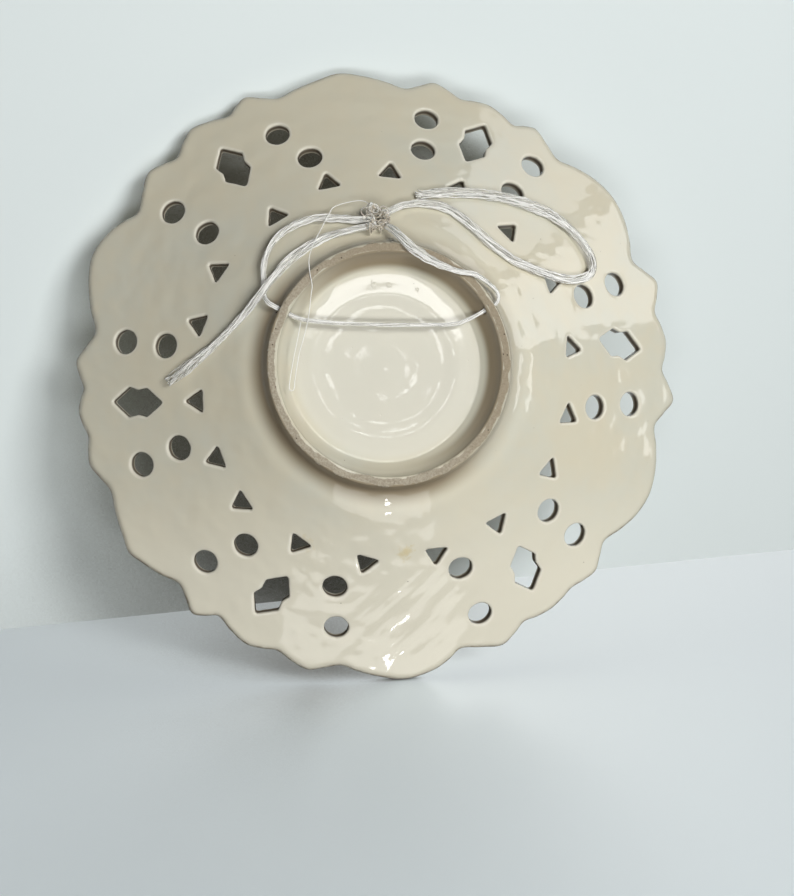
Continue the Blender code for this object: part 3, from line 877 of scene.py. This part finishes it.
def drill_cord_holes(plate):
    """Cuts the two holes for the twine through the foot ring."""
    near, far = CORD_HOLE_SPAN
    bm = bmesh.new()
    for degrees in CORD_HOLE_ANGLES:
        angle = math.radians(degrees)
        outward = Vector((math.cos(angle), 0.0, math.sin(angle)))
        middle = outward * (near + far) / 2 + Vector((0.0, CORD_HOLE_DEPTH, CENTRE_Z))
        turn = Vector((0.0, 0.0, 1.0)).rotation_difference(outward).to_matrix().to_4x4()
        bmesh.ops.create_cone(
            bm, cap_ends=True, segments=28, radius1=CORD_HOLE_RADIUS * MM,
            radius2=CORD_HOLE_RADIUS * MM, depth=(far - near) * MM,
            matrix=Matrix.Translation(middle * MM) @ turn,
        )
    mesh = bpy.data.meshes.new("drill")
    bm.to_mesh(mesh)
    bm.free()
    drill = bpy.data.objects.new("drill", mesh)
    bpy.context.scene.collection.objects.link(drill)
    step = plate.modifiers.new("cord_holes", "BOOLEAN")
    step.operation = "DIFFERENCE"
    step.solver = "MANIFOLD"
    step.object = drill
    finished = bpy.data.meshes.new_from_object(
        plate.evaluated_get(bpy.context.evaluated_depsgraph_get())
    )
    plate.modifiers.clear()
    plate.data = finished
    bpy.data.objects.remove(drill)


def mark_edges(plate, rim, openings):
    """Stores how near each point is to a cut edge, and which points lie on the openings' walls: for
    thin glaze on the rim, a painted highlight on the openings' lips and painted shade on the
    openings' walls.
    """
    count = len(plate.data.vertices)
    co = np.empty(count * 3, np.float32)
    plate.data.vertices.foreach_get("co", co)
    co = co.reshape(-1, 3) / MM
    flat = np.column_stack([co[:, 0], co[:, 2] - CENTRE_Z])
    to_rim, to_opening = edge_gaps(flat.astype(float), rim, openings)
    radius = np.linalg.norm(flat, axis=1)
    into = (co[:, 1] - flank_depth(radius)) * np.cos(np.arctan(flank_slope(radius))) / THICKNESS
    # Points inside the openings' walls, which get the painted shade
    cut = np.clip((into - 0.14) / 0.2, 0.0, 1.0) * np.clip((0.86 - into) / 0.2, 0.0, 1.0)
    cut *= (radius > SEAM_RADIUS + 4.0) & (to_opening < 6.0) & (to_rim > 4.0)
    for name, gap in (("rim_gap", to_rim), ("opening_gap", to_opening), ("cut", cut)):
        layer = plate.data.attributes.new(name, "FLOAT", "POINT")
        layer.data.foreach_set("value", gap.astype(np.float32))


# ---------------------------------------------------------------- materials

class Paint:
    """Short ways to build one material's nodes. Sizes are in mm of the object's own space."""

    def __init__(self, name):
        self.material = bpy.data.materials.new(name)
        self.material.use_nodes = True
        self.nodes = self.material.node_tree.nodes
        self.links = self.material.node_tree.links
        self.shader = self.nodes["Principled BSDF"]
        self.place = self.add("ShaderNodeTexCoord").outputs["Object"]

    def put(self, socket, value):
        if isinstance(value, bpy.types.NodeSocket):
            self.links.new(value, socket)
        else:
            socket.default_value = value

    def add(self, kind, *values, **settings):
        node = self.nodes.new(kind)
        for name, value in settings.items():
            setattr(node, name, value)
        for socket, value in zip(node.inputs, values):
            self.put(socket, value)
        return node

    def math(self, operation, *values):
        return self.add("ShaderNodeMath", *values, operation=operation).outputs[0]

    def times(self, first, *others):
        """The product of two or more values."""
        for other in others:
            first = self.math("MULTIPLY", first, other)
        return first

    def vector(self, operation, *values):
        return self.add("ShaderNodeVectorMath", *values, operation=operation)

    def noise(self, size, detail=2.0, seed=0.0):
        """Smooth noise, about 0.3 to 0.7, with lumps of this size."""
        place = self.vector("ADD", self.place, (seed, seed, -seed)).outputs[0]
        node = self.add("ShaderNodeTexNoise", place)
        node.inputs["Scale"].default_value = 1.0 / (size * MM)
        node.inputs["Detail"].default_value = detail
        return node.outputs["Fac"]

    def streaks(self, slant, long, wide):
        """Noise drawn out into strokes that rise to the right at this angle."""
        turned = self.add("ShaderNodeMapping", self.place)
        turned.vector_type = "TEXTURE"
        turned.inputs["Rotation"].default_value = (0.0, -math.radians(slant), 0.0)
        turned.inputs["Scale"].default_value = (long * MM, long * MM, wide * MM)
        node = self.add("ShaderNodeTexNoise", turned.outputs[0])
        node.inputs["Scale"].default_value = 1.0
        node.inputs["Detail"].default_value = 1.0
        return node.outputs["Fac"]

    def step(self, value, low, high, start=0.0, end=1.0):
        """Smooth step of a value from start at low to end at high."""
        node = self.nodes.new("ShaderNodeMapRange")
        node.interpolation_type = "SMOOTHSTEP"
        for socket, number in zip(node.inputs, (value, low, high, start, end)):
            self.put(socket, number)
        return node.outputs[0]

    def mix(self, factor, first, second):
        node = self.nodes.new("ShaderNodeMix")
        node.data_type = "RGBA"
        self.put(node.inputs["Factor"], factor)
        self.put(node.inputs[6], first)
        self.put(node.inputs[7], second)
        return node.outputs[2]

    def attribute(self, name):
        return self.add("ShaderNodeAttribute", attribute_name=name).outputs["Fac"]

    def near(self, x, z, size, seed):
        """1 at a point of the plate, falling unevenly to 0 at this distance from it."""
        at = (x * MM, 0.0, (z + CENTRE_Z) * MM)
        gap = self.vector("SUBTRACT", self.place, at).outputs[0]
        gap = self.vector("MULTIPLY", gap, (1 / MM, 0.0, 1 / MM)).outputs[0]
        gap = self.vector("LENGTH", gap).outputs["Value"]
        uneven = self.step(self.noise(size * 0.5, 3.0, seed), 0.3, 0.7, 0.6, 1.6)
        return self.step(self.times(gap, uneven), size, size * 0.15)

    def specks(self, spacing, sizes, share, seed):
        """Sparse round specks: cells of this spacing, a share of them filled."""
        place = self.vector("ADD", self.place, (seed, -seed, seed)).outputs[0]
        cells = self.add("ShaderNodeTexVoronoi", place)
        cells.inputs["Scale"].default_value = 1.0 / (spacing * MM)
        pick = self.add("ShaderNodeSeparateColor", cells.outputs["Color"]).outputs
        size = self.step(pick[1], 0.0, 1.0, *sizes)
        gap = self.times(cells.outputs["Distance"], spacing)
        filled = self.math("LESS_THAN", pick[0], share)
        return self.times(self.step(self.math("DIVIDE", gap, size), 1.0, 0.6), filled)


def glaze_material():
    """Glossy cream glaze over buff clay, bare and pitted on the foot ring's rim, with painted shade
    on the foot ring's walls and in the openings, and a painted highlight on the openings' lips.
    """
    paint = Paint("cream_glaze")
    centred = paint.vector("SUBTRACT", paint.place, (0.0, 0.0, CENTRE_Z * MM)).outputs[0]
    flat = paint.vector("MULTIPLY", centred, (1 / MM, 0.0, 1 / MM)).outputs[0]
    radius = paint.vector("LENGTH", flat).outputs["Value"]
    depth = paint.add("ShaderNodeSeparateXYZ", paint.place).outputs[1]
    on_back = paint.step(depth, (BASE_DEPTH + 5.0) * MM, (BASE_DEPTH + 4.0) * MM)
    height = paint.vector("DOT_PRODUCT", flat, (0.0, 0.0, 1.0)).outputs["Value"]
    side = paint.vector("DOT_PRODUCT", flat, SHADE_SIDE).outputs["Value"]

    # Cream, warmer in clouds, paler on the base and paler towards the bottom
    colour = paint.mix(paint.step(paint.noise(60.0, 2.0, 1.0), 0.35, 0.65), CREAM, COOL_CREAM)
    mottle = paint.step(paint.noise(9.0, 4.0, 2.0), 0.35, 0.75, 0.0, 0.35)
    colour = paint.mix(mottle, colour, WARM_CREAM)
    colour = paint.mix(paint.step(radius, 47.0, 41.0, 0.0, 0.85), colour, BASE_CREAM)
    colour = paint.mix(paint.step(height, -35.0, -115.0, 0.0, 0.95), colour, LOW_PALE_CREAM)

    # Painted shade, in brown, on the foot ring's inner wall to the right and on its outer wall to the
    # left, the sides turned away from the light
    inner = paint.times(
        paint.step(side, -30.0, 25.0, 0.12, 0.95), paint.step(radius, 45.6, 48.8),
        paint.step(radius, 54.0, 53.0),
    )
    outer = paint.times(
        paint.step(radius, 68.0, 58.5), paint.step(radius, 55.5, 56.5),
        paint.step(side, 15.0, -25.0, 0.35, 0.95),
    )
    ring_shade = paint.times(paint.math("MAXIMUM", inner, outer), on_back)
    colour = paint.mix(ring_shade, colour, WALL_BROWN)

    # Stains, then the cut edges: a painted highlight on the openings' lips, thin glaze on the rim and
    # painted shade, in dark brown, on the openings' walls
    for number, (x, z, size, strength) in enumerate(STAINS):
        stain = paint.times(paint.near(x, z, size, 3.0 + number), strength)
        colour = paint.mix(stain, colour, STAIN_YELLOW)
    lip_highlight = paint.step(paint.attribute("opening_gap"), 1.7, 0.7, 0.0, 0.6)
    colour = paint.mix(lip_highlight, colour, LIP_HIGHLIGHT)
    worn = paint.step(paint.noise(5.0, 3.0, 9.0), 0.42, 0.62)
    worn = paint.times(paint.step(paint.attribute("rim_gap"), 1.6, 0.2), worn, 0.6)
    colour = paint.mix(worn, colour, THIN_BROWN)
    colour = paint.mix(paint.times(paint.attribute("cut"), 0.93), colour, OPENING_WALL_SHADE)

    # Specks all over, and fine pits in two places
    speck = paint.specks(6.5, (0.16, 0.34), 0.22, 0.3)
    for x, z, size in PITTED:
        pits = paint.times(paint.specks(1.9, (0.15, 0.4), 0.5, 0.7), paint.near(x, z, size, 20.0 + x))
        speck = paint.math("MAXIMUM", speck, pits)
    colour = paint.mix(paint.times(speck, 0.75), colour, SPECK_BROWN)

    # Bare clay on the foot ring's rim, darker to the right
    edge = paint.math("ADD", radius, paint.step(paint.noise(7.0, 4.0, 5.0), 0.3, 0.7, -0.7, 0.7))
    bare = paint.times(paint.step(edge, 53.0, 53.4), paint.step(edge, 56.7, 56.3), on_back)
    grain = paint.step(paint.noise(0.9, 4.0, 6.0), 0.3, 0.7)
    clay = paint.mix(grain, BARE_DARK, BARE_PALE)
    clay = paint.mix(paint.step(side, -25.0, 35.0, 0.0, 0.55), clay, WALL_BROWN)
    clay_pits = paint.specks(1.9, (0.15, 0.5), 0.42, 1.1)
    clay = paint.mix(clay_pits, clay, BARE_PIT)
    colour = paint.mix(bare, colour, clay)
    paint.put(paint.shader.inputs["Base Color"], colour)

    gloss = paint.step(paint.noise(14.0, 3.0, 7.0), 0.3, 0.7, 0.035, 0.08)
    dull = paint.math("MAXIMUM", paint.times(bare, 0.7), paint.times(speck, 0.5))
    paint.put(paint.shader.inputs["Roughness"], paint.math("MAXIMUM", gloss, dull))

    # Fine relief: orange peel, runs, finger strokes, dimples and blisters in the base, and pits
    wiped = paint.near(FINGER_PLACE[0], FINGER_PLACE[1], FINGER_REACH[0], 15.0)
    dimples = paint.specks(4.6, (0.3, 0.75), 0.35, 2.3)
    relief = paint.times(paint.noise(3.2, 2.0, 8.0), PEEL_HEIGHT)
    for part in (
        paint.times(
            paint.noise(11.0, 1.0, 12.0), RUN_HEIGHT, paint.step(radius, 44.0, 60.0, 0.25, 1.0),
            paint.step(wiped, 0.0, 1.0, 1.0, 0.35),
        ),
        paint.times(paint.streaks(FINGER_SLANT, 24.0, 5.0), wiped, STROKE_HEIGHT),
        paint.times(dimples, -DIMPLE_DEPTH, paint.step(radius, 46.0, 44.0)),
        *(paint.times(paint.near(x, z, size, 30.0 + x), BLISTER_HEIGHT) for x, z, size in BLISTERS),
        paint.times(speck, -SPECK_DEPTH),
        paint.times(grain, bare, GRAIN_HEIGHT),
        paint.times(clay_pits, bare, -PIT_DEPTH),
    ):
        relief = paint.math("ADD", relief, part)
    bump = paint.nodes.new("ShaderNodeBump")
    bump.inputs["Distance"].default_value = MM
    paint.put(bump.inputs["Height"], relief)
    paint.put(paint.shader.inputs["Normal"], bump.outputs["Normal"])
    return paint.material


def film_material():
    """Thin glassy fibres, some of them clearer than others."""
    paint = Paint("film_twine")
    strand = paint.attribute("fibre")
    colour = paint.mix(paint.step(strand, 0.1, 0.7), FILM_GREY, FILM_WHITE)
    paint.put(paint.shader.inputs["Base Color"], colour)
    clear = paint.step(strand, 0.0, 0.6, 0.5, 0.12)
    paint.put(paint.shader.inputs["Transmission Weight"], clear)
    paint.shader.inputs["Roughness"].default_value = 0.16
    return paint.material


def clear_material():
    """The curled film of the knot, glassy and faintly beige."""
    paint = Paint("clear_film")
    strand = paint.attribute("fibre")
    colour = paint.mix(paint.step(strand, 0.3, 1.0, 0.0, 0.7), CLEAR_BEIGE, FILM_WHITE)
    paint.put(paint.shader.inputs["Base Color"], colour)
    paint.shader.inputs["Transmission Weight"].default_value = 0.55
    paint.shader.inputs["Roughness"].default_value = 0.08
    return paint.material


# ---------------------------------------------------------------- twine

def smooth_route(route, spacing):
    """Points evenly along the smooth curve through a route's own points, in plate mm."""
    own = [Vector(p) for p in route]
    own = [own[0] * 2 - own[1], *own, own[-1] * 2 - own[-2]]
    fine = []
    for p0, p1, p2, p3 in zip(own, own[1:], own[2:], own[3:]):
        for step in range(12):
            t = step / 12
            fine.append(
                (
                    p1 * 2
                    + (p2 - p0) * t
                    + (p0 * 2 - p1 * 5 + p2 * 4 - p3) * t * t
                    + (p1 * 3 - p0 - p2 * 3 + p3) * t**3
                )
                / 2
            )
    fine.append(own[-2])
    fine = np.array(fine)
    run = np.concatenate([[0.0], np.cumsum(np.linalg.norm(np.diff(fine, axis=0), axis=1))])
    wanted = np.linspace(0.0, run[-1], round(run[-1] / spacing) + 1)
    return np.column_stack([np.interp(wanted, run, fine[:, axis]) for axis in range(3)]), run[-1]


def unit(rows):
    return rows / np.linalg.norm(rows, axis=-1, keepdims=True)


def cord_axes(points, closed=False):
    """Directions ahead, sideways and outwards along a line; outwards turns to the viewer's side."""
    if closed:
        ahead = unit(np.roll(points, -1, axis=0) - np.roll(points, 1, axis=0))
    else:
        ahead = unit(np.gradient(points, axis=0))
    wanted = np.array([0.0, -1.0, 0.0])
    out = np.empty_like(points)
    last = wanted + 0.01 * ahead[0][::-1]
    for at, step in enumerate(ahead):
        pull = wanted - step * step.dot(wanted)
        last = last - step * step.dot(last)
        last = last / np.linalg.norm(last) + OUTWARD_PULL * pull
        last /= np.linalg.norm(last)
        out[at] = last
    return ahead, np.cross(ahead, out), out


def drift(run, seed, amount, size):
    """Smooth noise along a line, about as far as this amount to either side."""
    steps = [1.7 * noise.noise((d / size, seed * 0.37 + 0.5, 7.5)) for d in run.tolist()]
    return amount * np.array(steps)


def film_rings(points, half_width, half_thick, roll, closed=False):
    """The rings of points of one flat film fibre."""
    _, side, out = cord_axes(points, closed)
    turn = np.asarray(roll)[..., None]
    wide = side * np.cos(turn) + out * np.sin(turn)
    thin = out * np.cos(turn) - side * np.sin(turn)
    corners = np.radians(np.arange(FILM_SIDES) * 360.0 / FILM_SIDES)
    width = np.asarray(half_width)[..., None] * np.ones(len(points))[:, None]
    return (
        points[:, None]
        + wide[:, None] * (width * np.cos(corners))[..., None]
        + thin[:, None] * (half_thick * np.sin(corners))[None, :, None]
    )


def film_mesh(name, fibres, material):
    """One piece from many fibres, each (rings, closed, shade) with a shade from 0 to 1."""
    points, faces, shades = [], [], []
    first = 0
    for rings, closed, shade in fibres:
        count = len(rings)
        points.append(rings.reshape(-1, 3))
        shades.append(np.full(count * FILM_SIDES, shade))
        rows = first + np.arange(count * FILM_SIDES).reshape(count, FILM_SIDES)
        pairs = list(zip(rows, np.roll(rows, -1, axis=0)))
        for near, far in pairs if closed else pairs[:-1]:
            for here in range(FILM_SIDES):
                after = (here + 1) % FILM_SIDES
                faces.append((near[here], near[after], far[after], far[here]))
        if not closed:
            faces.append(tuple(rows[0][::-1]))
            faces.append(tuple(rows[-1]))
        first += count * FILM_SIDES
    mesh = bpy.data.meshes.new(name)
    corners = [tuple(map(int, face)) for face in faces]
    mesh.from_pydata(to_frame(*np.vstack(points).T).tolist(), [], corners)
    layer = mesh.attributes.new("fibre", "FLOAT", "POINT")
    layer.data.foreach_set("value", np.concatenate(shades).astype(np.float32))
    mesh.materials.append(material)
    mesh.shade_smooth()
    piece = bpy.data.objects.new(name, mesh)
    bpy.context.scene.collection.objects.link(piece)
    return piece


def bundle(route, sizes, seed, twist, fray, grip_both):
    """The fibres of a twine that follows a route. sizes are (distance, width, thickness) in mm,
    twist is in radians per mm, and fray is how far from its end the fibres part. They start a
    little inside the knot, and with grip_both they end there too."""
    points, length = smooth_route(route, FIBRE_STEP)
    run = np.linspace(0.0, length, len(points))
    ahead, side, out = cord_axes(points)
    into_knot = np.clip(1.0 - run / KNOT_GRIP, 0.0, 1.0)
    if grip_both:
        into_knot -= np.clip(1.0 - (length - run) / KNOT_GRIP, 0.0, 1.0)
    spine = points - ahead * (into_knot * KNOT_PULL)[:, None]
    table = np.array(sizes, float)
    width = np.interp(run, table[:, 0], table[:, 1])
    thick = np.interp(run, table[:, 0], table[:, 2])
    draw = np.random.default_rng(seed)
    fibres = []
    for number in range(FIBRES):
        key = seed * 100 + number
        reach = math.sqrt((number + 0.5) / FIBRES)
        angle = number * GOLDEN_TURN + twist * run + drift(run, key, *TURN_DRIFT)
        away = np.clip(reach + drift(run, key + 0.3, *REACH_DRIFT), 0.0, 1.0)
        crimp_across = width * drift(run, key + 0.6, CRIMP, CRIMP_SIZES[0])
        crimp_outward = thick * drift(run, key + 0.8, CRIMP, CRIMP_SIZES[1])
        across = width / 2 * away * np.cos(angle) + crimp_across
        outward = thick / 2 * away * np.sin(angle) + crimp_outward
        keep = len(run)
        if fray:
            keep -= int(max(0.0, draw.uniform(*FRAY_SHORT)) * fray / FIBRE_STEP)
            open_end = np.clip((run - length + fray) / fray, 0.0, 1.0) ** 2
            across += open_end * draw.uniform(*FRAY_ACROSS)
            outward += open_end * draw.uniform(*FRAY_OUTWARD)
        path = spine + side * across[:, None] + out * outward[:, None]
        roll = angle + math.pi / 2 + drift(run, key + 0.1, *ROLL_DRIFT)
        half = draw.uniform(*FILM_HALF_WIDTH) * np.clip((run + 2.0) / 6.0, 0.6, 1.0)
        rings = film_rings(path[:keep], half[:keep], FILM_HALF_THICK, roll[:keep])
        fibres.append((rings, False, draw.uniform()))
    return fibres, points, length


def declare_cord(piece, node):
    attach(piece, "root")
    if node:
        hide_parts(node)


def knot_curls(seed):
    """Closed curls of film, wound over each other round the knot's middle."""
    draw = np.random.default_rng(seed)
    turns = np.linspace(0.0, 2 * math.pi, CURL_STEPS, endpoint=False)
    fibres = []
    for number in range(CURLS):
        axis = unit(draw.normal(size=3))
        first = unit(np.cross(axis, draw.normal(size=3)))
        second = np.cross(axis, first)
        radius = draw.uniform(*CURL_RADIUS)
        spread = unit(draw.normal(size=3)) * draw.uniform(0.45, 1.0)
        room = np.maximum(np.array(KNOT_SIZE) - radius * 0.75, 0.6)
        middle = np.array(KNOT_CENTRE) + spread * room
        bend = draw.uniform(0.1, 0.3) * radius
        phase = draw.uniform(0.0, 6.0)
        path = middle + radius * (
            np.cos(turns)[:, None] * first + draw.uniform(0.6, 1.0) * np.sin(turns)[:, None] * second
        ) + bend * np.cos(2 * turns + phase)[:, None] * axis
        roll = phase + np.sin(turns + phase)
        half = draw.uniform(*CURL_HALF_WIDTH)
        fibres.append((film_rings(path, half, half * 0.7, roll, True), True, draw.uniform()))
    return fibres


def build_twine(film, clear):
    knot = film_mesh("twine_knot", knot_curls(5), clear)
    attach(knot, "root")
    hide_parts("cord_knot")
    for seed, (name, node, route, sizes, twist, fray, diameter) in enumerate(CORDS, start=1):
        is_loop = node == "hanging_cord"
        fibres, points, length = bundle(route, sizes, seed, twist, fray, is_loop)
        piece = film_mesh(name, fibres, film)
        declare_cord(piece, node)
    points, length = smooth_route(HAIR_ROUTE, 1.0)
    run = np.linspace(0.0, length, len(points))
    rings = film_rings(points, HAIR_DIAMETER / 2, HAIR_DIAMETER / 2, drift(run, 9, 1.0, 12.0))
    hair = film_mesh("loose_filament", [(rings, False, 0.6)], film)
    declare_cord(hair, None)


# ---------------------------------------------------------------- stage

def add_area(name, place, target, size, power, colour):
    light = bpy.data.lights.new(name, "AREA")
    light.shape = "RECTANGLE"
    light.size, light.size_y = size
    light.energy = power
    light.color = colour
    lamp = bpy.data.objects.new(name, light)
    lamp.location = place
    lamp.rotation_mode = "QUATERNION"
    lamp.rotation_quaternion = (Vector(target) - Vector(place)).to_track_quat("-Z", "Y")
    bpy.context.scene.collection.objects.link(lamp)
    return lamp


def build_camera():
    """The camera stands a little low and to the left of the plate's axis."""
    camera = bpy.data.objects.new("camera", bpy.data.cameras.new("camera"))
    camera.data.lens = CAMERA_LENS
    camera.data.sensor_width = CAMERA_SENSOR
    camera.data.clip_start = 0.01
    turn = Matrix(CAMERA_AXES).transposed().to_4x4()
    place = (Vector(CAMERA_PLACE) + Vector((0.0, 0.0, CENTRE_Z))) * MM
    camera.matrix_world = Matrix.Translation(place) @ turn
    bpy.context.scene.collection.objects.link(camera)
    bpy.context.scene.camera = camera


def stage_plane(name, point, along, away, reach, facing, material):
    """A large flat sheet along a line of points, out to both of its reaches, in metres."""
    corners = []
    for side, out in ((-1, reach[0]), (1, reach[0]), (1, reach[1]), (-1, reach[1])):
        corners.append(point + along * side * STAGE_HALF + away * out)
    if along.cross(away).dot(facing) < 0:
        corners.reverse()
    mesh = bpy.data.meshes.new(name)
    mesh.from_pydata(corners, [], [(0, 1, 2, 3)])
    mesh.materials.append(material)
    sheet = bpy.data.objects.new(name, mesh)
    bpy.context.scene.collection.objects.link(sheet)
    return sheet


def lit_side(paint):
    """How much painted light, from the lower right, takes away the painted shade behind the plate."""
    across = paint.vector("DOT_PRODUCT", paint.place, LIT_DIRECTION).outputs["Value"]
    return paint.step(across, *LIT_REACH, 0.0, LIT_SHARE)


def stage_material(name, colour, glow, shade):
    """Matt and pale. Its back lets the camera see through, so that the dish can be seen too."""
    paint = Paint(name)
    nodes, links, shader = paint.nodes, paint.links, paint.shader
    # Painted shade darkens the sheets where nearby things hide them from the open air; the floor
    # glows in this shaded colour too
    open_air = paint.add("ShaderNodeAmbientOcclusion", samples=SHADE_SAMPLES)
    open_air.inputs["Distance"].default_value = SHADE_REACH
    open_air = paint.math("ADD", open_air.outputs["AO"], lit_side(paint))
    open_air = paint.step(open_air, *shade)
    shaded = paint.mix(open_air, SHADE_COLOUR, (*colour, 1.0))
    paint.put(shader.inputs["Base Color"], shaded)
    paint.put(shader.inputs["Emission Color"], shaded)
    shader.inputs["Roughness"].default_value = 0.55
    shader.inputs["Emission Strength"].default_value = glow
    side = nodes.new("ShaderNodeNewGeometry")
    clear = nodes.new("ShaderNodeBsdfTransparent")
    mix = nodes.new("ShaderNodeMixShader")
    links.new(side.outputs["Backfacing"], mix.inputs["Fac"])
    links.new(shader.outputs["BSDF"], mix.inputs[1])
    links.new(clear.outputs["BSDF"], mix.inputs[2])
    links.new(mix.outputs["Shader"], nodes["Material Output"].inputs["Surface"])
    return paint.material


def build_stage():
    """The plate stands on the floor and leans its rim on the wall, so in its own upright frame
    both of them are tilted."""
    up, out = Vector(FLOOR_UP).normalized(), Vector(WALL_OUT).normalized()
    along = up.cross(out).normalized()
    foot, touch = Vector(FLOOR_POINT) * MM, Vector(WALL_POINT) * MM
    axes = Matrix((up, out, along))
    corner = axes.inverted() @ Vector((up.dot(foot), out.dot(touch), 0.0))
    forward, rise = along.cross(up), out.cross(along)
    floor_paint = stage_material("floor_pale", FLOOR_COLOUR, FLOOR_GLOW, FLOOR_SHADE)
    wall_paint = stage_material("wall_pale", WALL_COLOUR, 0.0, WALL_SHADE)
    floor = stage_plane("floor", corner, along, forward, FLOOR_REACH, up, floor_paint)
    floor.visible_glossy = False
    floor.visible_diffuse = False
    wall = stage_plane("backdrop", corner, along, rise, WALL_REACH, out, wall_paint)
    wall.visible_diffuse = False
    wall.visible_shadow = False


def build_lights():
    world = bpy.data.worlds.new("studio")
    bpy.context.scene.world = world
    world.use_nodes = True
    nodes, links = world.node_tree.nodes, world.node_tree.links
    light = nodes["Background"]
    seen = nodes.new("ShaderNodeBackground")
    light.inputs["Color"].default_value = AMBIENT_COLOUR
    light.inputs["Strength"].default_value = WORLD_LIGHT
    seen.inputs["Color"].default_value = WORLD_COLOUR
    seen.inputs["Strength"].default_value = WORLD_SEEN
    ray = nodes.new("ShaderNodeLightPath")
    mix = nodes.new("ShaderNodeMixShader")
    links.new(ray.outputs["Is Camera Ray"], mix.inputs["Fac"])
    links.new(light.outputs["Background"], mix.inputs[1])
    links.new(seen.outputs["Background"], mix.inputs[2])
    links.new(mix.outputs["Shader"], nodes["World Output"].inputs["Surface"])
    middle = Vector((0.0, 0.0, CENTRE_Z * MM))
    for name, place, size, power, colour, in_gloss in LIGHTS:
        lamp = add_area(name, place, middle, size, power, colour)
        lamp.visible_camera = False
        lamp.visible_glossy = in_gloss
    for name, azimuth, elevation, width, height, radiance in PANELS:
        turn, lift = math.radians(azimuth), math.radians(elevation)
        away = Vector((math.sin(turn) * math.cos(lift), -math.cos(turn) * math.cos(lift),
                       math.sin(lift)))
        power = radiance * math.pi * width * height
        place = middle + PANEL_REACH * away
        panel = add_area(name, place, middle, (width, height), power, (1.0, 1.0, 1.0))
        panel.visible_camera = False
        panel.visible_diffuse = False
        panel.visible_transmission = False


def main():
    glaze = glaze_material()
    film = film_material()
    clear = clear_material()
    plate = build_plate()
    plate.data.materials.clear()
    plate.data.materials.append(glaze)
    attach(plate, "root")
    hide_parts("plate")
    build_twine(film, clear)
    build_camera()
    build_stage()
    build_lights()
    bpy.context.scene.view_settings.view_transform = "Standard"


main()
